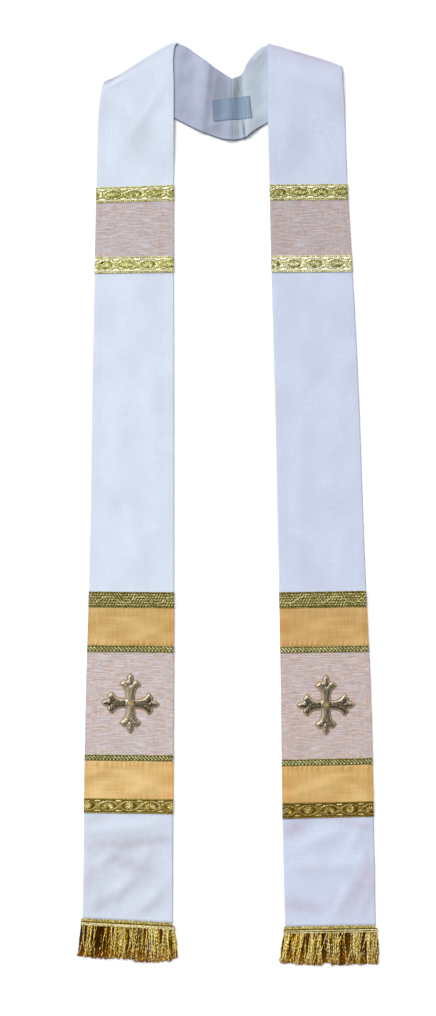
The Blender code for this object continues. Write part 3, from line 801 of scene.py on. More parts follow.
# %% [markdown]
# Round the neck the lining is cut to the band and set a little inside its edges, so that the linen shows
# as a thin rim. It could be a second material on the strip alone, but its own shell gives the rim and the
# seam line a real edge that catches the light. The label is a small patch of blue-grey satin over the
# centre-back seam. Its face stays blank, it is darker to the left as in the photograph, and it bends with
# the seam's ridge.
# %% Neck lining and blank label
LINING_CLOTH = 0.5
TOUCH = 0.05
LINING_MARGIN = 0.008
LINING_START = 4
LINING_SEAM = 0.08
LINING_ACROSS = 37
lining_shares = np.clip(np.linspace(0.0, 1.0, LINING_ACROSS), LINING_MARGIN, 1 - LINING_MARGIN)
linings = {}
for side in SIDES:
    lined = neck_rows(side, neck_lines(side, LINING_SEAM), lining_shares)
    lined = Rows(lined.at[LINING_START:], lined.facing[LINING_START:])
    near = -(MAIN_CLOTH / 2 + TOUCH)
    linings[side] = shell(f"lining_{side}", lined, near, near - LINING_CLOTH, [lining[side]])
    note_painted_shade(linings[side], PAINTED_SHADE_LINING)
    print(linings[side].name, "area", round(area_of(linings[side]), 4))

LABEL_ENDS = (NeckLine(-22.6, 572.5, -20.9, 541.7), NeckLine(30.5, 578.2, 34.2, 546.5))
LABEL_CLOTH = 0.6
LABEL_ROWS, LABEL_ACROSS = 41, 25
label_satin, tree = start_material("blue_grey_label_satin")
floats = slubs(tree, 12, 1.1)
tone = add(tree, "ShaderNodeMix", {"Factor": floats, "A": "#5E7089", "B": "#6B7F99"}, data_type="RGBA")
place = add(tree, "ShaderNodeSeparateXYZ", {0: add(tree, "ShaderNodeTexCoord").outputs["Object"]})
tone = overlay(tree, tone, "#8DA5B8", place, -12 * MM, 30 * MM, 0.6)
dress(tree, tone, floats, 0.05, 0.5, {"Roughness": 0.42, "Sheen Weight": 0.1})


def label_place(along, up):
    """A place on the label: share along it from the left, and share up it."""
    first, last = LABEL_ENDS
    x = mix(mix(first.bottom_x, first.top_x, up), mix(last.bottom_x, last.top_x, up), along)
    y = mix(mix(first.bottom_y, first.top_y, up), mix(last.bottom_y, last.top_y, up), along)
    return x, y


LABEL_BASE = MAIN_CLOTH + TOUCH + LINING_CLOTH + TOUCH
shares = [np.linspace(0, 1, count) for count in (LABEL_ROWS, LABEL_ACROSS)]
label_x, label_y = label_place(shares[0][:, None], shares[1][None])
label_at = np.stack((label_x, label_y, LABEL_BASE + neck_rise(label_x, label_y)), axis=2)
label = shell("label", Rows(label_at, np.broadcast_to(UP, label_at.shape)), 0.0, LABEL_CLOTH, [label_satin])
print("label", len(label.data.polygons), "faces")

# %% [markdown]
# The pink bands are a shot weave: pale lilac warp crossed by slub weft yarns of rose and copper, some
# with orange metallic flecks. Every weft yarn runs right across the panel, so all the noise here is drawn
# out sideways, one to two millimetres high and up to forty long. The yarns are really about 0.8 mm thick
# and are drawn at 1.5 mm. The amber bands are a plain cotton-like weave with faint cross streaks, a
# darker line down one side and a bloom of orange near the other.
# %% Striped weave and amber cloth


def striped_weave(name, rose, lilac, copper, fleck):
    """Long slub yarns of several colours across the panel, with flecks and a fine warp."""
    material, tree = start_material(name)
    long_yarn = slubs(tree, 26, 1.25, 4.0)
    tone = overlay(tree, rose, lilac, long_yarn, 0.42, 0.59)
    yarns = (
        (11, 1.3, 0.52, 0.64, 0.8, copper),
        (18, 1.2, 0.55, 0.66, 0.8, "#D6DCEA"),
        (18, 1.2, 0.57, 0.66, 0.75, "#86747C"),
    )
    for length, height, start, end, most, colour in yarns:
        tone = overlay(tree, tone, colour, slubs(tree, length, height, 1.5), start, end, most)
    crowd = add(tree, "ShaderNodeMath", {0: slubs(tree, 26, 12, 1.0), 1: 0.5}, operation="MULTIPLY")
    where = {0: slubs(tree, 5.2, 1.5, 0.0), 1: 1.5, 2: crowd}
    where = add(tree, "ShaderNodeMath", where, operation="MULTIPLY_ADD")
    tone = overlay(tree, tone, fleck, where, 1.26, 1.37, 0.9)
    warp = {"Factor": slubs(tree, 1.9, 14), "A": "#7E7276", "B": "#F2ECEC"}
    warp = add(tree, "ShaderNodeMix", warp, data_type="RGBA")
    tone = add(tree, "ShaderNodeMix", {"Factor": 0.22, "A": tone, "B": warp}, data_type="RGBA")
    height = {0: long_yarn, 1: 2.8, 2: plain_weave(tree, THREAD)}
    height = add(tree, "ShaderNodeMath", height, operation="MULTIPLY_ADD")
    dress(tree, tone, height, 0.16, 0.8, {"Roughness": 0.62, "Sheen Weight": 0.15})
    return material


def amber_cloth(name, dark, light, bloom):
    """A plain amber weave with cross streaks, a dark side, a bloom of orange, and painted shade on the
    gathers.
    """
    material, tree = start_material(name)
    weft = slubs(tree, 44, 2.0)
    fine = add(tree, "ShaderNodeMath", {0: weft, 1: slubs(tree, 2.6, 34, 2.0)}, operation="ADD")
    both = {0: slubs(tree, 60, 22, 1.0), 1: 2.4, 2: fine}
    both = add(tree, "ShaderNodeMath", both, operation="MULTIPLY_ADD")
    tone = overlay(tree, dark, light, both, 1.5, 2.9, shape="SMOOTHSTEP")
    across = add(tree, "ShaderNodeSeparateXYZ", {0: add(tree, "ShaderNodeUVMap", uv_map="cloth")})
    for start, end, most, colour in ((-52.0, -58.0, 0.5, dark), (40.0, 64.0, 0.3, bloom)):
        tone = overlay(tree, tone, colour, across, start * MM, end * MM, most)
    # Painted shade: the gathers' ridges turn towards the deeper orange.
    gathered = add(tree, "ShaderNodeAttribute", attribute_name="gathered").outputs["Fac"]
    tone = add(tree, "ShaderNodeMix", {"Factor": gathered, "A": tone, "B": bloom}, data_type="RGBA")
    height = {0: weft, 1: 4.0, 2: plain_weave(tree, THREAD)}
    height = add(tree, "ShaderNodeMath", height, operation="MULTIPLY_ADD")
    dress(tree, tone, height, 0.025, 0.8, {"Roughness": 0.58, "Sheen Weight": 0.2})
    return material


Cloth = namedtuple("Cloth", "piece side weave finish colours")
CLOTHS = (
    Cloth("upper_panel", "left", striped_weave, "striped_weave_upper", "#A9918F #CBC8D0 #AC7F62 #DCB888"),
    Cloth("upper_panel", "right", striped_weave, "striped_weave_upper", "#9C8482 #BDB6BE #A3775A #D8AE7C"),
    Cloth("cross_panel", "left", striped_weave, "striped_weave_lower", "#B39A93 #D3CED3 #BC8C6A #ECC48C"),
    Cloth("cross_panel", "right", striped_weave, "striped_weave_lower", "#AC9086 #CCC3C6 #B68662 #E8BA80"),
    Cloth("gold_band_1", "left", amber_cloth, "amber_weave_1", "#B8904C #D2B070 #CE8F3C"),
    Cloth("gold_band_1", "right", amber_cloth, "amber_weave_1", "#B48B4A #CCA86A #CA8936"),
    Cloth("gold_band_2", "left", amber_cloth, "amber_weave_2", "#C8A05C #E2C182 #D89542"),
    Cloth("gold_band_2", "right", amber_cloth, "amber_weave_2", "#BD9550 #D8B575 #D08C38"),
)
BAND_FINISHES = {}
for row in CLOTHS:
    finish = row.weave(f"{row.finish}_{row.side}", *row.colours.split())
    BAND_FINISHES.setdefault(row.piece, {})[row.side] = finish
print("band finishes:", sum(len(pair) for pair in BAND_FINISHES.values()))

# %% [markdown]
# The bands are laid on the panel and turned in with it at the sides. Their long edges run on under the
# braids, which is how a maker hides raw edges. Where an amber band is sewn under a narrow braid the cloth
# puckers, one small gather every six or seven millimetres, so just outside that seam its surface rises
# and sinks, and the gathers are painted a deeper orange: painted shade that marks the puckers.
# %% Bands on the panels
BAND_CLOTH = 0.7
UNDERLAP = 4.0
PUCKER_PITCH = 7.4
PUCKER_REACH = 6.0
PUCKER_RISE = 1.6
PUCKER_WANDER, PUCKER_WANDER_LENGTH = 1.4, 23
PUCKER_SHOULDER = 1.2
PUCKER_SEED = {"left": 3.0, "right": 8.0}
# How deep the painted shade on the gathers goes.
GATHER_SHADE_DEPTH = 0.4
BAND_ROWS, BAND_ACROSS = 60, 86


def sewn_rows(side, first, second, count, columns, overlap=0.0):
    """Rows over a panel between two piece lines, from the second, lower one up to the first."""
    turn = np.linspace(0.0, 1.0, count)
    high, low = LINE_OF[first], LINE_OF[second]
    ends = []
    for column in (side + "_outer", side + "_inner"):
        ends.append(mix(getattr(low, column) - overlap, getattr(high, column) + overlap, turn))
    return panel_rows(side, ends[0], ends[1], np.linspace(0.0, 1.0, columns))


def gathers(rows, gathered_row, seed):
    """How strongly each place is lifted by the small gathers along one long edge of a band."""
    x, y = rows.at[..., 0], rows.at[..., 1]
    past_seam = np.abs(y - y[gathered_row]) - UNDERLAP
    stations = (x[0] / PUCKER_WANDER_LENGTH).tolist()
    wander = np.array([noise.noise(Vector((station, seed, 0.5))) for station in stations])
    ridges = 0.5 + 0.5 * np.sin(2 * np.pi * (x / PUCKER_PITCH + PUCKER_WANDER * wander))
    beyond = np.maximum(past_seam - PUCKER_SHOULDER, 0) / PUCKER_REACH
    fade = smooth_step(past_seam / PUCKER_SHOULDER) * np.exp(-(beyond**2))
    return (0.6 + 0.8 * wander) * ridges * fade


GATHERED_EDGE = {"gold_band_1": 0, "gold_band_2": -1}
bands = {}
for piece in BAND_FINISHES:
    following = NEXT_LINE[piece].piece
    for side in SIDES:
        rows = sewn_rows(side, piece, following, BAND_ROWS, BAND_ACROSS, UNDERLAP)
        near = MAIN_CLOTH / 2 + TOUCH
        lift = np.zeros(rows.at.shape[:2])
        if piece in GATHERED_EDGE:
            lift = gathers(rows, GATHERED_EDGE[piece], PUCKER_SEED[side])
        far = near + BAND_CLOTH + PUCKER_RISE * lift
        band = shell(f"{piece}_cloth_{side}", rows, near, far, [BAND_FINISHES[piece][side]])
        if piece in GATHERED_EDGE:
            ends = [np.repeat(edge, len(EDGE_ANGLES), axis=1) for edge in (lift[:, -1:], lift[:, :1])]
            ring = np.concatenate((lift, ends[0], lift[:, ::-1], ends[1]), axis=1)
            noted = band.data.attributes.new("gathered", "FLOAT", "POINT")
            noted.data.foreach_set("value", np.clip(GATHER_SHADE_DEPTH * ring, 0.0, 1.0).ravel())
        bands[piece, side] = band
print("bands:", len(bands))

# %% [markdown]
# Geometry Nodes repeat the small things. One tree scatters an ornament on points that carry their own
# turn and size; one sweeps a cord along a path; one sets stitches end to end along a path. Each has named
# inputs for its sizes and ends by realizing its instances, and its result is kept as a plain mesh, since
# an export drops instances.
# %% Geometry trees for ornaments, cords and stitches


def start_geometry(name, sockets):
    tree = bpy.data.node_groups.new(name, "GeometryNodeTree")
    tree.interface.new_socket("Geometry", in_out="INPUT", socket_type="NodeSocketGeometry")
    for label, kind in sockets.items():
        tree.interface.new_socket(label, in_out="INPUT", socket_type="NodeSocket" + kind)
    tree.interface.new_socket("Geometry", in_out="OUTPUT", socket_type="NodeSocketGeometry")
    return tree, add(tree, "NodeGroupInput").outputs


def end_geometry(tree, geometry, material):
    solid = add(tree, "GeometryNodeRealizeInstances", {0: geometry})
    smooth = add(tree, "GeometryNodeSetShadeSmooth", {"Geometry": solid})
    painted = add(tree, "GeometryNodeSetMaterial", {"Geometry": smooth, "Material": material})
    add(tree, "NodeGroupOutput", {0: painted})


def grow(name, tree, source, values):
    """Run a tree on a source mesh and keep the result as a plain mesh."""
    holder = bpy.data.objects.new(name + "_source", source)
    modifier = holder.modifiers.new(tree.name, "NODES")
    modifier.node_group = tree
    for item in tree.interface.items_tree:
        if item.in_out == "INPUT" and item.name in values:
            modifier[item.identifier] = values[item.name]
    bpy.context.scene.collection.objects.link(holder)
    evaluated = holder.evaluated_get(bpy.context.evaluated_depsgraph_get())
    mesh = bpy.data.meshes.new_from_object(evaluated)
    mesh.name = name
    bpy.data.objects.remove(holder)
    return mesh


tree, given = start_geometry("scatter_ornaments", {"Ornament": "Object", "Material": "Material"})
ornament = add(tree, "GeometryNodeObjectInfo", {"Object": given["Ornament"]}).outputs["Geometry"]
turn = add(tree, "GeometryNodeInputNamedAttribute", {"Name": "turn"}, data_type="FLOAT")
size = add(tree, "GeometryNodeInputNamedAttribute", {"Name": "size"}, data_type="FLOAT_VECTOR")
turned = add(tree, "ShaderNodeCombineXYZ", {"Z": turn})
as_points = add(tree, "GeometryNodeMeshToPoints", {"Mesh": given["Geometry"]})
placing = {"Points": as_points, "Instance": ornament, "Rotation": turned, "Scale": size}
end_geometry(tree, add(tree, "GeometryNodeInstanceOnPoints", placing), given["Material"])
scatter_tree = tree

sizes = {"Cord Radius": "Float", "Step": "Float", "Sides": "Int", "Material": "Material"}
tree, given = start_geometry("cord_along_path", sizes)
path = add(tree, "GeometryNodeMeshToCurve", {"Mesh": given["Geometry"]})
even = add(tree, "GeometryNodeResampleCurve", {"Curve": path, "Length": given["Step"]}, mode="LENGTH")
section = {"Resolution": given["Sides"], "Radius": given["Cord Radius"]}
section = add(tree, "GeometryNodeCurvePrimitiveCircle", section)
swept = {"Curve": even, "Profile Curve": section, "Fill Caps": True}
swept = add(tree, "GeometryNodeCurveToMesh", swept)
end_geometry(tree, swept, given["Material"])
cord_tree = tree

sizes = {"Stitch": "Object", "Pitch": "Float", "Slant": "Float", "Scale": "Vector", "Material": "Material"}
tree, given = start_geometry("stitches_along_path", sizes)
path = add(tree, "GeometryNodeMeshToCurve", {"Mesh": given["Geometry"]})
even = add(tree, "GeometryNodeResampleCurve", {"Curve": path, "Length": given["Pitch"]}, mode="LENGTH")
ahead = add(tree, "GeometryNodeInputTangent")
aligned = add(tree, "FunctionNodeAlignRotationToVector", {"Vector": ahead}, axis="X", pivot_axis="Z")
slanted = add(tree, "ShaderNodeCombineXYZ", {"Z": given["Slant"]})
facing = {"Rotation": aligned, "Rotate By": slanted}
facing = add(tree, "FunctionNodeRotateRotation", facing, rotation_space="LOCAL")
stitch = add(tree, "GeometryNodeObjectInfo", {"Object": given["Stitch"]}).outputs["Geometry"]
placing = {"Points": even, "Instance": stitch, "Rotation": facing, "Scale": given["Scale"]}
end_geometry(tree, add(tree, "GeometryNodeInstanceOnPoints", placing), given["Material"])
stitch_tree = tree
print("trees:", [tree.name for tree in bpy.data.node_groups])

# %% [markdown]
# A jacquard braid's figures stand up a little because their metal thread floats over the ground. They are all
# made of two small domed pads on a drawn outline, in units of their own length: a pointed leaf and an oval
# float. They have only a few dozen faces, because they are repeated hundreds of times.
# %% Small figures


def pad(name, outline):
    """A closed dome one unit high over an outline of (x, y) points."""
    count = len(outline)
    levels = ((1.0, 0.0), (0.86, 0.62), (0.48, 0.94))
    points = [(x * scale, y * scale, height) for scale, height in levels for x, y in outline]
    points.append((0.0, 0.0, 1.0))
    faces = [tuple(range(count))[::-1]]
    for level in range(len(levels) - 1):
        here, there = level * count, (level + 1) * count
        for index in range(count):
            after = (index + 1) % count
            faces.append((here + index, here + after, there + after, there + index))
    top = (len(levels) - 1) * count
    faces += [(top + index, top + (index + 1) % count, len(points) - 1) for index in range(count)]
    mesh = bpy.data.meshes.new(name)
    mesh.from_pydata(points, [], faces)
    return bpy.data.objects.new(name, mesh)


TURNS = np.radians(range(0, 360, 36))
leaf = pad("leaf", [(0.5 * math.cos(t), 0.5 * math.sin(t) * abs(math.sin(t)) ** 0.6) for t in TURNS])
thread = pad("thread", [(0.5 * math.cos(t), 0.5 * math.sin(t)) for t in TURNS])
figures = {figure.name: figure for figure in (leaf, thread)}
print({name: len(figure.data.polygons) for name, figure in figures.items()})

# %% [markdown]
# Each ornament is first drawn flat: across the panel, up it from the braid's middle line, and off it, in
# millimetres. A last step lays the drawing on its panel. It cuts off what would hang past the side edges
# and closes the cut, moves every point to its place along the braid, and adds the height of the cloth
# below, so that the figures follow each soft ridge.
# %% Lay a flat drawing on a panel
Figure = namedtuple("Figure", "kind x y turn length width height finish", defaults=("figure",))


def drawn(name, wanted, finishes):
    """Meshes of all the figures of a drawing, one for each kind and finish."""
    meshes = []
    for kind, finish in sorted({(figure.kind, figure.finish) for figure in wanted}):
        chosen = [figure for figure in wanted if (figure.kind, figure.finish) == (kind, finish)]
        points = bpy.data.meshes.new(name + kind)
        points.from_pydata([(figure.x, figure.y, 0.0) for figure in chosen], [], [])
        turns = points.attributes.new("turn", "FLOAT", "POINT")
        turns.data.foreach_set("value", [math.radians(figure.turn) for figure in chosen])
        sizes = points.attributes.new("size", "FLOAT_VECTOR", "POINT")
        sizes.data.foreach_set("vector", [size for figure in chosen for size in figure[4:7]])
        values = {"Ornament": figures[kind], "Material": getattr(finishes, finish)}
        meshes.append(grow(name, scatter_tree, points, values))
    return meshes


def polyline(name, points, closed=False):
    mesh = bpy.data.meshes.new(name)
    edges = [(index, index + 1) for index in range(len(points) - 1)]
    mesh.from_pydata(points, edges + ([(len(points) - 1, 0)] if closed else []), [])
    return mesh


def cord(name, points, radius, material, closed=False, sides=6, step=1.2):
    """A round cord of one radius, swept along a line of points."""
    values = {"Cord Radius": radius, "Step": step, "Sides": sides, "Material": material}
    return grow(name, cord_tree, polyline(name, points, closed), values)


def stitches(name, points, pitch, size, slant, material, closed=False):
    """Stitches along a line of points, each leaning from it by the slant in degrees."""
    values = {"Stitch": thread, "Pitch": pitch, "Slant": math.radians(slant), "Scale": size}
    values["Material"] = material
    return grow(name, stitch_tree, polyline(name, points, closed), values)


def joined(name, meshes, keep_within=None):
    """One mesh from several, cut off and closed at x = plus and minus the given half width."""
    shape = bmesh.new()
    materials = []
    for mesh in meshes:
        first = len(shape.faces)
        shape.from_mesh(mesh)
        shape.faces.ensure_lookup_table()
        finish = mesh.materials[-1]
        if finish not in materials:
            materials.append(finish)
        for face in shape.faces[first:]:
            face.material_index = materials.index(finish)
        bpy.data.meshes.remove(mesh)
    for way in (-1, 1) if keep_within else ():
        everything = shape.verts[:] + shape.edges[:] + shape.faces[:]
        cut = {"plane_co": (way * keep_within, 0, 0), "plane_no": (way, 0, 0), "clear_outer": True}
        bmesh.ops.bisect_plane(shape, geom=everything, **cut)
        bmesh.ops.holes_fill(shape, edges=[edge for edge in shape.edges if edge.is_boundary])
    bmesh.ops.recalc_face_normals(shape, faces=shape.faces)
    mesh = bpy.data.meshes.new(name)
    shape.to_mesh(mesh)
    shape.free()
    mesh.shade_smooth()
    return make_object(name, mesh, materials)


def place_vertices(obj, points):
    obj.data.vertices.foreach_set("co", points.ravel())
    obj.data.update()


def lay(obj, side, outer_y, inner_y, base):
    """Lay a flat drawing on a panel, its x from the panel's middle and its y from a line's two ends."""
    flat = coordinates(obj)
    outer_x, inner_x = edge_x(outer_y, side + "_outer"), edge_x(inner_y, side + "_inner")
    x = (outer_x + inner_x) / 2 + flat[:, 0]
    y = mix(outer_y, inner_y, (x - outer_x) / (inner_x - outer_x)) + flat[:, 1]
    z = MAIN_CLOTH + panel_rise(side, x, y) + base + flat[:, 2]
    place_vertices(obj, np.stack((x, y, z), axis=1) * MM)


# %% Stitches that hold the label
label_edge, tree = start_material("blue_grey_sewing_thread")
spot = add(tree, "ShaderNodeTexCoord").outputs["Object"]
spun = add(tree, "ShaderNodeTexNoise", {"Vector": spot, "Scale": 900.0})
tone = add(tree, "ShaderNodeMix", {"Factor": spun, "A": "#51627C", "B": "#7A8CA6"}, data_type="RGBA")
connect(tree, tree.nodes["Principled BSDF"], {"Base Color": tone, "Roughness": 0.7})
inset_x, inset_y = 0.018, 0.03
LABEL_SEWING_PITCH, LABEL_SEWING = 2.2, (1.7, 0.5, 0.35)
LABEL_SEWING_SINK = 0.03
ring = [(inset_x, inset_y), (1 - inset_x, inset_y), (1 - inset_x, 1 - inset_y), (inset_x, 1 - inset_y)]
seam_path = []
for start, end in zip(ring, ring[1:] + ring[:1]):
    for t in np.arange(0, 1, 0.1):
        seam_path.append((*label_place(mix(start[0], end[0], t), mix(start[1], end[1], t)), 0.0))
sewing = (LABEL_SEWING_PITCH, LABEL_SEWING, 0, label_edge)
sewn = stitches("label_stitches", seam_path, *sewing, closed=True)
label_stitches = joined("label_stitches", [sewn])
flat = coordinates(label_stitches)
flat[:, 2] += LABEL_BASE + LABEL_CLOTH - LABEL_SEWING_SINK + neck_rise(flat[:, 0], flat[:, 1])
place_vertices(label_stitches, flat * MM)
print("label stitches:", len(label_stitches.data.polygons), "faces")

# %% [markdown]
# The braids are jacquard: polyester woven with flat metallic yarn, so they shine in small patches, not
# all over; these patches are painted glints and painted shade in the metal thread's colour. Five finishes
# build one: a ground with fine slanting floats, plain borders of paler thread, the raised figures of bright
# thread, a shade behind them and a few glints, bright thread painted as highlights. Metal yarn is partly
# plastic, so its metallic value stays near a half, and its grazing reflections keep a gold tint. The floats
# of the ground are really 1 mm apart and drawn at 3 mm, so a wave texture bent by noise draws them.
# %% Braid finishes
FLOAT_PITCH = 2.9 * MM
GOLD_EDGE = "#F0DC9C"
DIAGONAL_WAVES = 2 * math.pi / (10 * math.sqrt(2))


def braid_ground(name, dark, light):
    material, tree = start_material(name)
    place = add(tree, "ShaderNodeUVMap", uv_map="cloth")
    wave = {"Vector": place, "Scale": DIAGONAL_WAVES / FLOAT_PITCH, "Distortion": 7.0, "Detail": 1.0}
    floats = add(tree, "ShaderNodeTexWave", wave, bands_direction="DIAGONAL").outputs["Fac"]
    tone = overlay(tree, dark, light, floats, 0.25, 0.85, shape="SMOOTHSTEP")
    tone = overlay(tree, tone, dark, slubs(tree, 5, 3, 2.0), 0.4, 0.7, 0.5)
    looks = {"Roughness": 0.42, "Metallic": 0.35, "Specular Tint": GOLD_EDGE}
    dress(tree, tone, floats, 0.3, 0.8, looks)
    return material


def metal_thread(name, dark, light, patch=3.0, metallic=0.5, roughness=0.36):
    """Patches of light and dark along metal yarn, where its flat strip turns over: painted glints and painted
    shade.
    """
    material, tree = start_material(name)
    spot = add(tree, "ShaderNodeTexCoord").outputs["Object"]
    flecks = add(tree, "ShaderNodeTexNoise", {"Vector": spot, "Scale": 1 / (patch * MM), "Detail": 3.0})
    # Painted glints and painted shade: noise patches of light and dark thread colour.
    tone = overlay(tree, dark, light, flecks, 0.36, 0.64, shape="SMOOTHSTEP")
    looks = {"Roughness": roughness, "Metallic": metallic, "Specular Tint": GOLD_EDGE}
    dress(tree, tone, flecks, 0.25, 0.6, looks)
    return material


Finish = namedtuple("Finish", "ground border figure shade glint")


def jacquard(name, colours):
    """The five finishes of one braid, from a dark and a light colour for each in turn."""
    colours = colours.split()
    made = {}
    for part, dark, light in zip(Finish._fields, colours[::2], colours[1::2]):
        weave = braid_ground if part == "ground" else metal_thread
        made[part] = weave(f"jacquard_{part}_{name}", dark, light)
    return Finish(**made)


# Every braid's dark and light colour for its ground, border, figure, shade and glint, in this order.
BRAID_COLOURS = {
    "upper_1": "#6E6A30 #CCC886  #A8A45A #ECE8AE  #A29E56 #F2EEB8  #6C6830 #928E4C  #E2DEAC #FFFFF0",
    "upper_1_right": "#5C5824 #B4B070  #9C9850 #ECE8B0  #8E8A44 #F2EEB8  #54501E #7C7838  #E6E2B2 #FFFFF4",
    "upper_2": "#827E3E #DAD696  #AFAB62 #F0ECB4  #B0AC62 #FAF6C4  #78743A #A09C58  #F0ECBE #FFFFF6",
    "upper_2_right": "#827E42 #DEDAA4  #B8B478 #FCF8D8  #A8A468 #FFFFE8  #64602C #98945A  #FFFCE6 #FFFFFF",
    "wide": "#3A320E #857D40  #665F2C #A0985A  #9E9654 #E6DEA0  #332C0A #5A5222  #B4AC68 #F0E9B2",
    "low_left": "#5E440C #94803A  #8A7630 #B4A258  #A2944C #D8CE8E  #684C10 #8C742C  #B4A658 #EDE4A8",
    "low_right": "#4A3004 #7C5E20  #7A6220 #A08A42  #86702C #C0AE6A  #543804 #765A1C  #9C8A3E #D6C884",
    "narrow": "#38340E #66602A  #7C7840 #B0AC70  #9C9754 #E2DEA8  #38340E #5A5424  #B0AC6C #ECE8BA",
}
FINISHES = {name: jacquard(name, colours) for name, colours in BRAID_COLOURS.items()}
print("braid finishes:", len(FINISHES))

# %% [markdown]
# Three patterns serve the six braids of each half. The oval braid has crossing stems that close ovals 30
# mm apart, each ringed with slanting leaves; every other one holds a ribbed fan, and those between hold a
# rosette or a sheaf of slanting leaves. The leaf braid has one winding stem among dense leaves that lean
# to and fro. The narrow braid is a plait, two rows of short slanting floats. The borders are rows of
# cords and of short upright floats. All are traditional ornaments, drawn afresh here. The same braid is
# used in several places, as a maker would cut it from one reel, but never starts at the same point.
# %% Braid patterns
REACH = 74.0
STEM_LIFT, LEAF_RISE = 0.35, 0.85
OVAL = 30.0
OVAL_REACH = 12.4
RING_LEAVES = 14
RING_HEIGHT, RING_LEAN, RING_LEAF = 0.84, 16, (6.2, 2.0, 0.8)
FAN_TURNS = range(18, 163, 24)
SHADE_LENGTH, SHADE_RISE = 19.0, 0.14
POINT_LEAF = (11.0, 2.6, 0.8)
SHEAF_REACH, SHEAF_STEP, SHEAF_LEAN = 8.4, 2.8, 50
WINDING = 46.0
SWING = 40.0
LEAF_ROWS, LEAF_PITCH, WOVEN_LEAF = (-0.84, -0.42, 0.0, 0.42, 0.84), 4.0, (5.4, 1.5, 0.7)
PLAIT_PITCH, PLAIT_LEAN, PLAIT_SWAY = 4.9, -38, 5


def winding(height, period, shift):
    """A stem that winds about the braid's middle line."""
    turn = 2 * math.pi / period
    return [(x, height * math.sin(turn * (x - shift)), STEM_LIFT) for x in np.arange(-REACH, REACH, 1.0)]


def rays(x, y, reach, turns, length, width):
    """Leaves that point away from one place."""
    leaves = []
    for turn in turns:
        at = (x + reach * math.cos(math.radians(turn)), y + reach * math.sin(math.radians(turn)))
        leaves.append(Figure("leaf", *at, turn, length, width, LEAF_RISE))
    return leaves


def sheaf(x, half):
    """Slanting leaves side by side, shorter towards the oval's ends."""
    offsets = np.arange(-SHEAF_REACH, SHEAF_REACH + 0.1, SHEAF_STEP)
    lengths = [half * (1.5 - 0.011 * step**2) for step in offsets]
    leaves = zip(offsets, lengths)
    return [Figure("leaf", x + step, 0.0, SHEAF_LEAN, length, 1.5, LEAF_RISE) for step, length in leaves]


def rosette(x, half):
    """Petals round a bright eye."""
    petals = rays(x, 0.0, half * 0.46, range(0, 360, 40), half * 0.86, 3.0)
    return [*petals, Figure("thread", x, 0.0, 0, 3.2, 3.0, 0.9, "glint")]


def oval_pattern(half, shift, filling, ring, rib):
    """Ovals between crossing stems, ringed with leaves and filled in turn with a fan and another figure."""
    stems = [winding(way * half * 0.9, 2 * OVAL, shift + OVAL / 2) for way in (-1, 1)]
    wanted = []
    for number in range(-3, 4):
        x = shift + number * OVAL
        wanted.append(Figure("thread", x, 0.0, 0, SHADE_LENGTH, half * 1.5, SHADE_RISE, "shade"))
        if number % 2:
            wanted += filling(x, half)
        else:
            wanted += rays(x, -half * 0.62, half * 0.72, FAN_TURNS, half * 1.02, rib)
        for turn in np.linspace(0, 2 * math.pi, RING_LEAVES, endpoint=False):
            at = (x + OVAL_REACH * math.cos(turn), half * RING_HEIGHT * math.sin(turn))
            way = (-OVAL_REACH * math.sin(turn), half * RING_HEIGHT * math.cos(turn))
            ahead = math.degrees(math.atan2(way[1], way[0]))
            # Painted highlight: the upper leaves of every other ring, on the side facing the light, take the
            # glint finish.
            finish = "glint" if math.sin(turn) > 0.4 and number % 2 == 0 else ring
            wanted.append(Figure("leaf", *at, ahead + RING_LEAN, *RING_LEAF, finish))
        for way in (-1, 1):
            between = x + OVAL / 2
            wanted.append(Figure("leaf", between, way * half * 0.92, 0, *POINT_LEAF, "glint"))
            for lean in (-4.4, -1.6, 1.6, 4.4):
                turn = way * math.copysign(58, lean)
                wanted.append(Figure("leaf", between + lean, way * half * 0.4, turn, half * 0.72, 1.5, 0.7))
    return stems, wanted


def lean(x, height):
    """How far, in degrees, the leaves lean: bundles swing slowly to and fro, with a quicker swing on top."""
    slow = math.sin(2 * math.pi * x / SWING + 1.6 * height)
    quick = math.sin(2 * math.pi * x / (0.28 * SWING) - 1.9 * height)
    return 56 * slow + 15 * quick


def leaf_pattern(half, shift):
    """One winding stem among rows of leaves that lean to and fro."""
    stems = [winding(half * 0.55, WINDING, shift)]
    wanted = []
    for row, height in enumerate(LEAF_ROWS):
        for number, x in enumerate(np.arange(-REACH + 1.7 * row % LEAF_PITCH, REACH, LEAF_PITCH)):
            turn = lean(x - shift, height)
            finish = "glint" if (number + 2 * row) % 5 == 0 else "figure"
            wanted.append(Figure("leaf", x, height * half, turn, *WOVEN_LEAF, finish))
    return stems, wanted


def plait_pattern(half, shift):
    """Two rows of short slanting floats that lean against each other."""
    wanted = []
    for number, x in enumerate(np.arange(-REACH + shift, REACH, PLAIT_PITCH)):
        turn = PLAIT_LEAN + PLAIT_SWAY * math.sin(number * 1.9)
        wanted.append(Figure("leaf", x, 0.45, turn, half * 2.3, 2.3, 0.9))
        wanted.append(Figure("leaf", x + 2.5, -half * 0.55, 34, half * 1.0, 1.7, 0.7, "glint"))
    return [], wanted


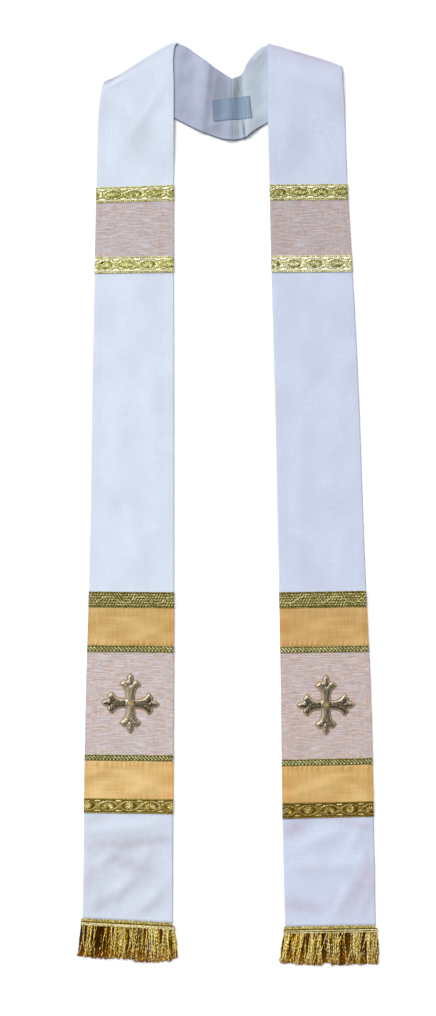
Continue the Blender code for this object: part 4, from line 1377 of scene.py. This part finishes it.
Row = namedtuple("Row", "inset size finish upright", defaults=(False,))
BORDERS = {
    "upper": (Row(0.5, 0.5, "border"), Row(1.8, 2.0, "border", True), Row(3.2, 0.6, "glint")),
    "wide": (Row(0.5, 0.5, "border"), Row(1.6, 1.5, "border", True), Row(2.6, 0.4, "shade")),
    "low": (Row(0.5, 0.45, "border"), Row(1.4, 0.5, "border"), Row(2.4, 0.5, "ground")),
    "narrow": (Row(0.5, 0.45, "border"),),
}
Braid = namedtuple("Braid", "piece left_finish right_finish borders inset pattern left_shift right_shift")
sheaf_ovals = partial(oval_pattern, filling=sheaf, ring="figure", rib=1.8)
rosette_ovals = partial(oval_pattern, filling=rosette, ring="border", rib=2.8)
BRAIDS = (
    Braid("upper_braid_1", "upper_1", "upper_1_right", "upper", 3.9, sheaf_ovals, -0.6, 18.0),
    Braid("upper_braid_2", "upper_2", "upper_2_right", "upper", 3.9, sheaf_ovals, 19.8, 5.4),
    Braid("wide_braid_1", "wide", "wide", "wide", 2.6, leaf_pattern, -44.0, 8.0),
    Braid("narrow_braid_1", "narrow", "narrow", "narrow", 0.9, plait_pattern, 0.0, 1.4),
    Braid("narrow_braid_2", "narrow", "narrow", "narrow", 0.9, plait_pattern, 1.7, 3.1),
    Braid("wide_braid_2", "low_left", "low_right", "low", 3.0, rosette_ovals, 31.6, 2.2),
)
BRAID_CLOTH = 0.55
BRAID_ROWS, BRAID_ACROSS = 25, 50
BRAID_EDGE, BRAID_EDGE_DROP = 0.9, 0.25
BRAID_LIFT = BAND_CLOTH + 2 * TOUCH
UPRIGHT_PITCH = 2.8
SEWING_INSET, SEWING_PITCH, SEWING = 1.0, 3.4, (1.7, 0.35, 0.6)


def border_meshes(name, rows, half, finishes):
    """Cords, upright floats and the sewing along both long edges of a braid."""
    meshes = []
    for way in (-1, 1):
        for row in rows:
            line = [(x, way * (half - row.inset), 0.0) for x in (-REACH, REACH)]
            finish = getattr(finishes, row.finish)
            if row.upright:
                meshes.append(stitches(name, line, UPRIGHT_PITCH, (row.size, 1.6, 0.7), 84, finish))
            else:
                meshes.append(cord(name, line, row.size, finish, step=3.0))
        line = [(x, way * (half - SEWING_INSET), 0.1) for x in (-REACH, REACH)]
        meshes.append(stitches(name, line, SEWING_PITCH, SEWING, 6, finishes.border))
    return meshes


braids = {}
for braid in BRAIDS:
    following = NEXT_LINE[braid.piece]
    for side in SIDES:
        finishes = FINISHES[braid.left_finish if side == "left" else braid.right_finish]
        rows = sewn_rows(side, braid.piece, following.piece, BRAID_ROWS, BRAID_ACROSS)
        width = np.linalg.norm(rows.at[-1] - rows.at[0], axis=1)[None]
        share = np.linspace(0, 1, BRAID_ROWS)[:, None]
        from_edge = np.minimum(share, 1 - share) * width
        near = MAIN_CLOTH / 2 + BRAID_LIFT
        far = near + BRAID_CLOTH - BRAID_EDGE_DROP * smooth_step(1 - from_edge / BRAID_EDGE)
        name = f"{braid.piece}_woven_{side}"
        base = shell(name, rows, near, far, [finishes.ground])
        half = float(width.mean()) / 2
        stems, wanted = braid.pattern(half - braid.inset, getattr(braid, side + "_shift"))
        meshes = drawn(name + "_figures", wanted, finishes)
        meshes += [cord(name + "_stem", points, 0.5, finishes.figure) for points in stems]
        meshes += border_meshes(name + "_border", BORDERS[braid.borders], half, finishes)
        narrowest = min(np.linalg.norm(row[-1, :2] - row[0, :2]) for row in (rows.at[0], rows.at[-1]))
        figured = joined(name + "_relief", meshes, keep_within=narrowest / 2 - 0.3)
        line = LINE_OF[braid.piece]
        ends = (side + "_outer", side + "_inner")
        heights = [(getattr(line, end) + getattr(following, end)) / 2 for end in ends]
        lay(figured, side, *heights, BRAID_LIFT + BRAID_CLOTH)
        braids[braid.piece, side] = (base, figured)
print("braid pieces:", 2 * len(braids))

# %% [markdown]
# Each cross is satin stitch over padding: half-round arms that swell into three lobes, with the upright
# bar sewn over the level one, and a couched cord round the edge. A subdivided block would lose the lobes,
# so the outline is filled with points, triangulated, and every point rises by its distance from the edge,
# as stitches over a pad do, and sinks where two pads meet. The thread direction is kept in a UV map,
# which turns the metal's long highlights. The upright bar is painted paler than the level arms: painted
# sheen, for the light that threads running the other way catch. A pale rim along the outline stands
# for silvery edging and for the highlight on the pad's rounded edge, so it is partly painted highlight.
# Both are read from values kept at each point.
# %% Padded crosses
ArmPoint = namedtuple("ArmPoint", "along half_width")
CROSS_ARM = rows_of(
    ArmPoint,
    (6.3, 6.3), (9.5, 6.3), (13.0, 6.5), (16.5, 7.2), (19.5, 8.2), (22.0, 9.8), (24.2, 12.4), (26.4, 15.0),
    (28.6, 14.6), (31.4, 11.8), (33.2, 9.0), (32.2, 6.2), (33.6, 4.6), (36.6, 4.6), (39.6, 2.9), (42.6, 0.0),
)
OUTLINE_POINTS = 53
CROSS_CENTRE = {"left": (-138.9, -283.6), "right": (138.6, -285.8)}
CROSS_WIDTH_RATIO = 0.965
CROSS_SKEW = {"left": -0.034, "right": 0.012}
# How far painted sheen lightens each upright bar; it stands for the light its threads catch.
UPRIGHT_PAINTED_SHEEN = {"left": 1.0, "right": 0.45}
PAD_RISE = 3.4
PAD_SHOULDER = 4.6
PAD_EDGE = 0.25
FILL_SPACING, FILL_REACH = 1.0, 44
Groove = namedtuple("Groove", "start_along start_across end_along end_across width depth")
GROOVES = (
    Groove(32.2, 6.2, 25.5, 1.2, 0.9, 0.3),
    Groove(25.5, 1.2, 25.5, -1.2, 0.9, 0.15),
    Groove(32.2, -6.2, 25.5, -1.2, 0.9, 0.3),
)
BAR_GROOVE = Groove(7.2, 6.9, 7.2, -6.9, 0.9, 0.4)
QUARTERS = ((1, 0), (0, 1), (-1, 0), (0, -1))


def cross_outline():
    stations = np.arange(len(CROSS_ARM))
    wanted = np.linspace(0, len(CROSS_ARM) - 1, OUTLINE_POINTS)
    along = smooth_read(stations, [point.along for point in CROSS_ARM], wanted)
    width = smooth_read(stations, [point.half_width for point in CROSS_ARM], wanted)
    arm = [(a, -w) for a, w in zip(along, width)]
    arm += [(a, w) for a, w in zip(along[-2:0:-1], width[-2:0:-1])]
    outline = []
    for cos, sin in QUARTERS:
        outline += [((a * cos - w * sin) * CROSS_WIDTH_RATIO, a * sin + w * cos) for a, w in arm]
    return outline


OUTLINE = cross_outline()


def distance_to(points, start, end):
    """Distance of each point from the nearest of some straight pieces."""
    leg = end - start
    offset = points[:, None] - start[None]
    share = np.clip((offset * leg).sum(axis=2) / (leg**2).sum(axis=1), 0, 1)
    return np.linalg.norm(offset - share[..., None] * leg, axis=2).min(axis=1)


def pad_height(flat, from_edge):
    """The padding's height: a half round from the edge, less the grooves."""
    inward = np.minimum(from_edge / PAD_SHOULDER, 1.0)
    height = PAD_RISE * np.sqrt(np.maximum(0.0, 1 - (1 - inward) ** 2))
    for cos, sin in QUARTERS:
        for groove in GROOVES + ((BAR_GROOVE,) if sin == 0 else ()):
            ends = ((groove.start_along, groove.start_across), (groove.end_along, groove.end_across))
            start, end = [np.array([[a * cos - w * sin, a * sin + w * cos]]) for a, w in ends]
            near = np.exp(-((distance_to(flat, start, end) / groove.width) ** 2))
            height = height * (1 - groove.depth * near)
    return height


def is_upright(x, y):
    """Whether a place on the cross is on its upright bar."""
    return abs(x) < BAR_GROOVE.start_along or abs(y) > abs(x)


def cross_pad(name, material, painted_sheen):
    """A closed padded cross, with what the shader reads: the distance from the edge, and the upright bar's
    painted sheen.
    """
    steps = np.arange(-FILL_REACH, FILL_REACH, FILL_SPACING)
    rim = np.array(OUTLINE)
    after = np.roll(rim, -1, axis=0)
    grid = np.array([(x + (row % 2) * FILL_SPACING / 2, y) for row, y in enumerate(steps) for x in steps])
    grid = grid[distance_to(grid, rim, after) > 0.5 * FILL_SPACING].tolist()
    loop = [(index, (index + 1) % len(rim)) for index in range(len(rim))]
    given_points = [Vector(point) for point in OUTLINE + grid]
    points, _, faces, *_ = delaunay_2d_cdt(given_points, loop, [list(range(len(rim)))], 1, 1e-6)
    flat = np.array([tuple(point) for point in points])
    inside = distance_to(flat, rim, after)
    height = pad_height(flat, inside)
    shape = bmesh.new()
    layers = [shape.verts.layers.float.new(value) for value in ("from_edge", "upright")]
    upper = [shape.verts.new(point) for point in np.column_stack((flat, height + PAD_EDGE))]
    lower = [shape.verts.new(point) for point in np.column_stack((flat, np.zeros(len(flat))))]
    for vert, place, distance in zip(upper, flat.tolist(), inside):
        vert[layers[0]], vert[layers[1]] = distance, is_upright(*place) * painted_sheen
    for face in faces:
        shape.faces.new([upper[index] for index in face])
        shape.faces.new([lower[index] for index in reversed(face)])
    tops = set(upper)
    partner = dict(zip(upper, lower))
    for edge in [edge for edge in shape.edges if edge.is_boundary and edge.verts[0] in tops]:
        a, b = edge.verts
        shape.faces.new((a, b, partner[b], partner[a]))
    loose = [vert for vert in shape.verts if not vert.link_faces]
    bmesh.ops.delete(shape, geom=loose, context="VERTS")
    bmesh.ops.recalc_face_normals(shape, faces=shape.faces)
    cloth = shape.loops.layers.uv.new("cloth")
    for face in shape.faces:
        middle = face.calc_center_median()
        upright = is_upright(middle.x, middle.y)
        for loop in face.loops:
            x, y = loop.vert.co.x * MM, loop.vert.co.y * MM
            loop[cloth].uv = (x, y) if upright else (y, x)
    mesh = bpy.data.meshes.new(name)
    shape.to_mesh(mesh)
    shape.free()
    mesh.shade_smooth()
    return make_object(name, mesh, [material])


satin, tree = start_material("metallic_satin_stitch")
rows = slubs(tree, 2.8, 1.1, 2.0)
tone = overlay(tree, "#3C3020", "#6E604A", rows, 0.41, 0.59, shape="SMOOTHSTEP")
# Painted sheen: the upright bar takes a paler copy of the satin's colour.
painted_sheen_tone = overlay(tree, "#5C4C3A", "#AA9A84", rows, 0.41, 0.59, shape="SMOOTHSTEP")
upright = add(tree, "ShaderNodeAttribute", attribute_name="upright").outputs["Fac"]
tone = add(tree, "ShaderNodeMix", {"Factor": upright, "A": tone, "B": painted_sheen_tone}, data_type="RGBA")
tone = overlay(tree, tone, "#D2CCB4", slubs(tree, 2.2, 1.6, 1.0), 0.6, 0.72)
from_edge = add(tree, "ShaderNodeAttribute", attribute_name="from_edge").outputs["Fac"]
# Partly painted highlight, partly silvery edging thread: a pale rim along the outline.
tone = overlay(tree, tone, "#D8D6C4", from_edge, 2.7, 1.5, 0.95, "SMOOTHSTEP")
threads = add(tree, "ShaderNodeTangent", direction_type="UV_MAP", uv_map="cloth")
looks = {"Roughness": 0.34, "Metallic": 0.75, "Anisotropic": 0.75, "Anisotropic Rotation": 0.25}
dress(tree, tone, rows, 0.12, 0.8, {**looks, "Tangent": threads})
couched = metal_thread("orange_gold_couched_cord", "#755214", "#C8923A", 2.0)
crossing = metal_thread("pale_gold_crossing_stitches", "#A68A48", "#E2CC8C", 1.5)

RIM_LIFT, RIM_CORD, RIM_PITCH, RIM_STITCH = 0.5, 0.55, 1.6, (2.2, 0.9, 0.7)
HATCH_OFFSETS, HATCH_REACH, HATCH_LEAN, HATCH_CORD = (-2.4, 0.0, 2.4), 3.4, 2.6, 0.26
HATCH_LIFT = PAD_RISE + 0.2
crosses = {}
for side in SIDES:
    body = cross_pad(f"cross_pad_{side}", satin, UPRIGHT_PAINTED_SHEEN[side])
    rim_path = [(x, y, RIM_LIFT) for x, y in OUTLINE]
    meshes = [
        cord(f"cross_cord_{side}", rim_path, RIM_CORD, couched, closed=True, step=1.0),
        stitches(f"cross_twist_{side}", rim_path, RIM_PITCH, RIM_STITCH, 35, couched, closed=True),
    ]
    for offset in HATCH_OFFSETS:
        for lean in (-1, 1):
            rise = lean * HATCH_LEAN
            ends = [(way * HATCH_REACH, way * rise + offset, HATCH_LIFT) for way in (-1, 1)]
            meshes.append(cord(f"cross_hatch_{side}", ends, HATCH_CORD, crossing))
    trim = joined(f"cross_trim_{side}", meshes)
    centre = CROSS_CENTRE[side]
    for obj in (body, trim):
        flat = coordinates(obj)
        x = flat[:, 0] + centre[0]
        y = flat[:, 1] + centre[1] + CROSS_SKEW[side] * flat[:, 0]
        z = MAIN_CLOTH + panel_rise(side, x, y) + BRAID_LIFT + flat[:, 2]
        place_vertices(obj, np.stack((x, y, z), axis=1) * MM)
    crosses[side] = (body, trim)
    print(body.name, len(body.data.polygons), "faces, trim", len(trim.data.polygons))

# %% [markdown]
# The fringe is bullion: a woven heading with small loops along its upper edge, and from it hundreds of
# crimped metallic cords that lie on the floor in clumps, with dark gaps between. Python decides where
# each cord starts and ends, how it bows and how bright it is. Tables say where the lower edge is shorter,
# how bright the fringe is along its width, and where the cords part. Geometry Nodes bend one straight
# line for every cord, crimp it, note how far its two plies have turned and how far down each point lies,
# and sweep it round. The tips are more orange than the rest. Straight cords lie under the crimped ones
# and are painted dark, as painted shade; each crimped layer is painted lighter than the one below it,
# painted shade and painted light, and strays on top lighter still. The clumps' random darker tones
# stand partly for painted shade in the gaps between them.
# %% Fringe tree
sizes = {"Cord Radius": "Float", "Crimp": "Float", "Crimp Length": "Float", "Turns": "Float", "Points": "Int"}
tree, given = start_geometry("fringe_cords", {**sizes, "Seed": "Int", "Material": "Material"})
point_values = {"phase": "FLOAT", "reach": "FLOAT_VECTOR", "bow": "FLOAT_VECTOR"}
phase, reach, bow = [
    add(tree, "GeometryNodeInputNamedAttribute", {"Name": name}, data_type=kind)
    for name, kind in point_values.items()
]
roots = add(tree, "GeometryNodeMeshToPoints", {"Mesh": given["Geometry"]})
straight = add(tree, "GeometryNodeCurvePrimitiveLine", {"Start": (0, 0, 0), "End": (0, 0, 0.001)})
divided = {"Curve": straight, "Count": given["Points"]}
divided = add(tree, "GeometryNodeResampleCurve", divided, mode="COUNT")
hung = add(tree, "GeometryNodeInstanceOnPoints", {"Points": roots, "Instance": divided})
cords = add(tree, "GeometryNodeRealizeInstances", {0: hung})
share = add(tree, "GeometryNodeSplineParameter").outputs["Factor"]
rest = add(tree, "ShaderNodeMath", {0: 1.0, 1: share}, operation="SUBTRACT")
swell = add(tree, "ShaderNodeMath", {0: share, 1: rest}, operation="MULTIPLY")
swell = add(tree, "ShaderNodeMath", {0: swell, 1: 4.0}, operation="MULTIPLY")
along = add(tree, "ShaderNodeVectorMath", {0: reach, "Scale": share}, operation="SCALE")
sideways = add(tree, "ShaderNodeVectorMath", {0: bow, "Scale": swell}, operation="SCALE")
settled = add(tree, "ShaderNodeVectorMath", {0: along, 1: sideways}, operation="ADD")
moved = add(tree, "GeometryNodeSetPosition", {"Geometry": cords, "Offset": settled})
turned = add(tree, "ShaderNodeMath", {0: share, 1: given["Turns"], 2: phase}, operation="MULTIPLY_ADD")
noted = moved
for name, value in (("turned", turned), ("down", share)):
    noted = {"Geometry": noted, "Name": name, "Value": value}
    noted = add(tree, "GeometryNodeStoreNamedAttribute", noted, data_type="FLOAT", domain="POINT")
where = add(tree, "GeometryNodeInputPosition")
finer = add(tree, "ShaderNodeMath", {0: 1.0, 1: given["Crimp Length"]}, operation="DIVIDE")
wild = add(tree, "ShaderNodeVectorMath", {0: where, "Scale": finer}, operation="SCALE")
for offset in (given["Seed"], phase):
    own = add(tree, "ShaderNodeCombineXYZ", {"Z": offset})
    wild = add(tree, "ShaderNodeVectorMath", {0: wild, 1: own}, operation="ADD")
wild = add(tree, "ShaderNodeTexNoise", {"Vector": wild, "Scale": 1.0, "Detail": 1.0}).outputs["Color"]
level = add(tree, "ShaderNodeVectorMath", {0: wild, 1: (0.5, 0.5, 0.5)}, operation="SUBTRACT")
flat_way = add(tree, "ShaderNodeVectorMath", {0: level, 1: (2.0, 1.2, 0.7)}, operation="MULTIPLY")
loose = add(tree, "ShaderNodeMath", {0: share, 1: given["Crimp"]}, operation="MULTIPLY")
crimp = add(tree, "ShaderNodeVectorMath", {0: flat_way, "Scale": loose}, operation="SCALE")
crimped = add(tree, "GeometryNodeSetPosition", {"Geometry": noted, "Offset": crimp})
section = {"Resolution": 5, "Radius": given["Cord Radius"]}
section = add(tree, "GeometryNodeCurvePrimitiveCircle", section)
swept = {"Curve": crimped, "Profile Curve": section, "Fill Caps": True}
swept = add(tree, "GeometryNodeCurveToMesh", swept)
end_geometry(tree, swept, given["Material"])
strand_tree = tree
print("fringe tree nodes:", len(strand_tree.nodes))

# %% Fringe finishes
PLY_GLINT_SHARE, GLINT_SHARE = 0.1, 1.0
bullion, tree = start_material("metallic_bullion_cord")
tone_share = add(tree, "ShaderNodeAttribute", attribute_name="tone").outputs["Fac"]
turned = add(tree, "ShaderNodeAttribute", attribute_name="turned").outputs["Fac"]
angle = add(tree, "ShaderNodeMath", {0: turned, 1: 2 * math.pi}, operation="MULTIPLY")
plies = add(tree, "ShaderNodeMath", {0: angle}, operation="SINE")
spot = add(tree, "ShaderNodeTexCoord").outputs["Object"]
glints = add(tree, "ShaderNodeTexNoise", {"Vector": spot, "Scale": 1 / (2.2 * MM), "Detail": 3.0})
# Painted glints: the plies' turn and a noise lighten and darken each cord's tone; the ramp's palest colours
# are painted highlights.
mixed = add(tree, "ShaderNodeMath", {0: plies, 1: PLY_GLINT_SHARE, 2: tone_share}, operation="MULTIPLY_ADD")
mixed = add(tree, "ShaderNodeMath", {0: glints, 1: GLINT_SHARE, 2: mixed}, operation="MULTIPLY_ADD")
mixed = add(tree, "ShaderNodeMath", {0: mixed, 1: GLINT_SHARE / 2}, operation="SUBTRACT")
ramp = add(tree, "ShaderNodeValToRGB", {0: mixed})
stops = ramp.color_ramp.elements
stops[0].position, stops[0].color = 0.12, linear("#472B00")
stops[1].position, stops[1].color = 0.95, linear("#FFF0A4")
for position, colour in ((0.36, "#633A00"), (0.52, "#8C5A00"), (0.66, "#BA8C08"), (0.8, "#E6C438")):
    stops.new(position).color = linear(colour)
down = add(tree, "ShaderNodeAttribute", attribute_name="down").outputs["Fac"]
tone = overlay(tree, ramp, "#A8681A", down, 0.6, 1.0, 0.5)
looks = {"Roughness": 0.38, "Metallic": 0.88, "Specular Tint": "#A87418"}
dress(tree, tone, plies, 0.2, 0.5, {**looks, "Coat Weight": 0.06, "Coat Roughness": 0.3})
heading_cord = metal_thread("pale_gold_heading_cord", "#BCAA62", "#FBF5C8", 2.5, 0.5)
heading_dark = metal_thread("olive_brown_heading_ground", "#563E08", "#86682A", 3.0, 0.55)
heading_loop = metal_thread("olive_gold_heading_loops", "#9C8630", "#ECDC8C", 3.0, 0.5)

# %% Fringes
FringeEnds = namedtuple("FringeEnds", "outer_x outer_y middle_y inner_x inner_y")
FRINGE_ENDS = {
    "left": FringeEnds(-212.7, -642.5, -651.6, -74.6, -650.4),
    "right": FringeEnds(212.6, -653.6, -655.4, 74.2, -653.0),
}
HEADING_HEIGHT = 9.2
HEADING_OVERHANG = 1.2
HEADING_COVER = 1.5
CORDS = 280
CORD_RADIUS = 0.68
LOOP_PITCH = 4.45
UNDER_CORDS = 230
UNDER_RADIUS = 1.05
Layer = namedtuple("Layer", "height pull spread bow tone")
# Each layer's tone is painted shade and light: lower layers darker, the top one lighter.
LAYERS = (
    Layer(1.0, 0.2, 1.2, 0.9, -0.28),
    Layer(1.8, 0.5, 2.2, 1.8, -0.02),
    Layer(2.7, 0.9, 2.6, 2.2, 0.24),
)
# Painted shade: the straight cords underneath are painted dark.
UNDER_LAYER = Layer(0.3, 0.0, 0.3, 0.2, -0.5)
# Stray cords that cross on top are painted lighter: painted light.
STRAY_SHARE, STRAY_REACH, STRAY_PAINTED_LIGHT = 0.22, (3.0, 10.0), 0.3
CORD_JITTER, CORD_ENDS = 1.6, (0.004, 0.996)
CLUMP_WIDTHS, CLUMP_PULLS = (0.018, 0.05), (0.4, 1.1)
CLUMP_SHORTER, CORD_SHORTER, UNDER_SHORTER = (0.6, 0.9), (0.5, 0.9), 1.6
# The clumps' random darker tones stand partly for painted shade in the gaps between clumps.
CLUMP_SHADES, CORD_SHADES = 0.24, 0.42
CLUMPED, STRAYING = (0.03, 0.97), (0.1, 0.9)
GAP_BOW, BOW_LIFT, END_HEIGHT = 0.6, 0.3, 0.7
PHASES = 900
LEFT_FLARE, LEFT_FLARE_FROM = 26.0, 0.9
Gap = namedtuple("Gap", "at reach push")
GAPS = {
    "left": (
        Gap(0.86, 0.035, 4.0),
        Gap(0.54, 0.02, 2.0),
        Gap(0.7, 0.022, 2.0),
        Gap(0.16, 0.03, 1.2),
        Gap(0.3, 0.03, 2.0),
    ),
    "right": (
        Gap(0.88, 0.03, 3.0),
        Gap(0.56, 0.045, 4.0),
        Gap(0.31, 0.045, 4.0),
        Gap(0.74, 0.025, 2.2),
        Gap(0.44, 0.025, 2.0),
    ),
}
BRIGHTNESS = {
    "left": (
        (0, 0.56), (0.06, 0.38), (0.12, 0.18), (0.26, 0.16), (0.42, 0.46), (0.6, 0.6), (0.8, 0.74), (1, 0.9),
    ),
    "right": (
        (0, 0.6), (0.04, 0.6), (0.06, 1.2), (0.1, 1.2), (0.13, 0.6), (0.3, 0.38), (0.55, 0.56), (1, 0.6),
    ),
}
SHORTER = {
    "left": ((0.0, 0.8), (0.22, 1.6), (0.4, 4.2), (0.56, 4.0), (0.61, 1.4), (0.92, 1.2), (1.0, 4.0)),
    "right": ((0.46, 0.0), (0.5, 3.2), (0.55, 2.6), (0.58, 0.0)),
}


def fringe_end(side, share):
    """Where a cord would end on the fringe's smooth lower edge."""
    ends = FRINGE_ENDS[side]
    straight = mix(ends.outer_y, ends.inner_y, share)
    bow = ends.middle_y - (ends.outer_y + ends.inner_y) / 2
    return mix(ends.outer_x, ends.inner_x, share), straight + bow * 4 * share * (1 - share)


def keep_between(value, low, high):
    return min(max(value, low), high)


def fringe_roots(side, chance, count, layers, radius):
    """A mesh of root points, each with its cord's reach, bow, phase and tone."""
    line = LINE_OF["fringe"]
    top = [getattr(line, side + "_outer"), getattr(line, side + "_inner")]
    outward = -1 if side == "left" else 1
    outer_x = edge_x(top[0], side + "_outer") + outward * HEADING_OVERHANG
    inner_x = edge_x(top[1], side + "_inner") - outward * HEADING_OVERHANG
    ends = FRINGE_ENDS[side]
    low_x, high_x = sorted((ends.outer_x + outward, ends.inner_x - outward))
    clumps = [0.0]
    while clumps[-1] < 1.0:
        clumps.append(clumps[-1] + chance.uniform(*CLUMP_WIDTHS))
    ragged = [chance.gauss(*CLUMP_SHORTER) for clump in clumps]
    shades = [chance.gauss(0.0, CLUMP_SHADES) for clump in clumps]
    roots, reaches, bows, phases, tones = [], [], [], [], []
    for number in range(count):
        layer = layers[number % len(layers)]
        share = (number + chance.uniform(-CORD_JITTER, CORD_JITTER)) / (count - 1)
        share = keep_between(share, *CORD_ENDS)
        root_y = mix(*top, share) - HEADING_HEIGHT + HEADING_COVER
        root = np.array((mix(outer_x, inner_x, share), root_y, layer.height))
        clump = int(np.argmin(np.abs(np.array(clumps) - share)))
        pull = layer.pull * chance.uniform(*CLUMP_PULLS)
        end_share = mix(share, clumps[clump], pull) if CLUMPED[0] < share < CLUMPED[1] else share
        end_x, end_y = fringe_end(side, keep_between(end_share, 0.0, 1.0))
        end_x = keep_between(end_x + chance.gauss(0, layer.spread), low_x, high_x)
        end_y += max(0.0, chance.gauss(*CORD_SHORTER) + ragged[clump])
        end_y += UNDER_SHORTER if layer is UNDER_LAYER else 0.0
        end_y += np.interp(end_share, *zip(*SHORTER[side]))
        bow = np.array((chance.gauss(0, layer.bow), 0.0, chance.uniform(0.0, BOW_LIFT)))
        tone = np.interp(share, *zip(*BRIGHTNESS[side])) + chance.gauss(0, CORD_SHADES)
        tone += layer.tone + shades[clump]
        stray = layer is LAYERS[2] and chance.random() < STRAY_SHARE
        if stray and STRAYING[0] < share < STRAYING[1]:
            end_x = keep_between(end_x - chance.uniform(*STRAY_REACH), low_x, high_x)
            tone += STRAY_PAINTED_LIGHT
        for gap in GAPS[side] if layer is not UNDER_LAYER else ():
            offset = share - gap.at
            if abs(offset) < gap.reach:
                way = math.copysign(1.0, offset * (inner_x - outer_x))
                parted = way * gap.push * (1 - abs(offset) / gap.reach)
                bow[0] += GAP_BOW * parted
                root[0] += parted
        if side == "left":
            bow[0] += LEFT_FLARE * max(0.0, share - LEFT_FLARE_FROM)
        roots.append(root)
        reaches.append(np.array((end_x, end_y, radius + END_HEIGHT * layer.height)) - root)
        bows.append(bow)
        phases.append(chance.uniform(0, PHASES))
        tones.append(keep_between(tone, 0.0, 1.0))
    mesh = bpy.data.meshes.new("fringe_roots")
    mesh.from_pydata(roots, [], [])
    for name, values in (("reach", reaches), ("bow", bows)):
        vectors = mesh.attributes.new(name, "FLOAT_VECTOR", "POINT")
        vectors.data.foreach_set("vector", np.array(values).ravel())
    for name, values in (("phase", phases), ("tone", tones)):
        mesh.attributes.new(name, "FLOAT", "POINT").data.foreach_set("value", values)
    return mesh


def with_attributes(meshes):
    """One mesh from several that carry the same attributes and one finish."""
    shape = bmesh.new()
    finish = meshes[0].materials[-1]
    for mesh in meshes:
        shape.from_mesh(mesh)
    for face in shape.faces:
        face.material_index = 0
    joint = bpy.data.meshes.new("fringe_cords")
    shape.to_mesh(joint)
    shape.free()
    joint.materials.append(finish)
    return joint


HeadingRow = namedtuple("HeadingRow", "down radius finish twist")
HEADING_ROWS = (
    HeadingRow(4.1, 0.7, heading_dark, (2.0, 1.0, 0.9)),
    HeadingRow(5.6, 0.8, heading_cord, (2.6, 1.2, 1.3)),
    HeadingRow(7.0, 0.8, heading_cord, (2.6, 1.2, 1.3)),
    HeadingRow(8.4, 0.7, heading_cord, (2.4, 1.1, 1.1)),
)
HEADING_REACH = 65.8
LINED_ROWS = (
    HeadingRow(4.1, 0.7, heading_dark, (2.0, 1.0, 0.9)),
    HeadingRow(5.7, 0.9, heading_cord, (2.6, 1.3, 1.3)),
    HeadingRow(7.1, 0.5, heading_dark, (1.8, 0.8, 0.9)),
    HeadingRow(8.4, 0.8, heading_cord, (2.4, 1.2, 1.2)),
)
LOOP_TURNS = np.radians(range(-110, 111, 20))
LOOP_WIDTH, LOOP_HEIGHT, LOOP_DOWN, LOOP_LIFT, LOOP_CORD = 1.7, 2.5, 2.1, 0.6, 0.65
LOOP_FILL = (0, 2.8, 3.2, 0.5)
LOWEST = 0.05
fringes = {}
for side in SIDES:
    chance = random.Random(11 if side == "left" else 29)
    values = {"Turns": 9.0, "Seed": 3 if side == "left" else 5, "Material": bullion}
    tangled = {**values, "Cord Radius": CORD_RADIUS, "Crimp": 3.2, "Crimp Length": 6.0, "Points": 22}
    straight = {**values, "Cord Radius": UNDER_RADIUS, "Crimp": 0.8, "Crimp Length": 9.0, "Points": 9}
    under = fringe_roots(side, chance, UNDER_CORDS, [UNDER_LAYER], UNDER_RADIUS)
    over = fringe_roots(side, chance, CORDS, LAYERS, CORD_RADIUS)
    grown = [grow("under_cords", strand_tree, under, straight)]
    grown.append(grow("over_cords", strand_tree, over, tangled))
    cords_piece = make_object(f"fringe_cords_{side}", with_attributes(grown), [])
    lifted = coordinates(cords_piece)
    lifted[:, 2] = np.maximum(lifted[:, 2], LOWEST)
    place_vertices(cords_piece, lifted * MM)
    meshes = []
    for row in HEADING_ROWS if side == "left" else LINED_ROWS:
        run = [(end, -row.down, row.radius) for end in (-HEADING_REACH, HEADING_REACH)]
        meshes.append(cord("heading_cord", run, row.radius, row.finish, step=2.0))
        meshes.append(stitches("heading_twist", run, 1.9, row.twist, 50, row.finish))
    for x in np.arange(-HEADING_REACH + 2, HEADING_REACH - 1, LOOP_PITCH):
        arc = []
        for t in LOOP_TURNS:
            arc.append((x + LOOP_WIDTH * math.sin(t), LOOP_HEIGHT * math.cos(t) - LOOP_DOWN, LOOP_LIFT))
        meshes.append(cord("heading_loop", arc, LOOP_CORD, heading_loop, step=0.8, sides=5))
        fill = [Figure("thread", x, -LOOP_DOWN, *LOOP_FILL)]
        meshes += drawn("heading_loop_fill", fill, Finish(*[heading_loop] * 5))
    trim = joined(f"fringe_heading_{side}", meshes)
    line = LINE_OF["fringe"]
    lay(trim, side, getattr(line, side + "_outer"), getattr(line, side + "_inner"), 0.1)
    fringes[side] = (cords_piece, trim)
    print(cords_piece.name, len(cords_piece.data.polygons), "faces, heading", len(trim.data.polygons))


def stands_for(pieces, node):
    """Tie pieces to the root body and hide the node's solid that they stand for."""
    for piece in pieces:
        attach(piece, "root")
    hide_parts(node)


for side in SIDES:
    stands_for([strips[side]], f"stole_{side}")
    stands_for([linings[side]], f"neck_lining_{side}")
    stands_for(crosses[side], f"cross_{side}")
    stands_for(fringes[side], f"fringe_{side}")
    for piece in BAND_FINISHES:
        stands_for([bands[piece, side]], f"{piece}_{side}")
    for braid in BRAIDS:
        stands_for(braids[braid.piece, side], f"{braid.piece}_{side}")
stands_for([label, label_stitches], "neck_label")

for figure in figures.values():
    bpy.data.objects.remove(figure)

sizes = {"cad": [list(corner) for corner in cad_box], "visual": [list(corner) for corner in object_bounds()]}
triangles = {}
for mesh_object in [obj for obj in bpy.data.objects if obj.type == "MESH"]:
    triangles[mesh_object.name] = sum(len(face.vertices) - 2 for face in mesh_object.data.polygons)
most = max(triangles, key=triangles.get)
print("triangles in all:", sum(triangles.values()), "most:", most, triangles[most])
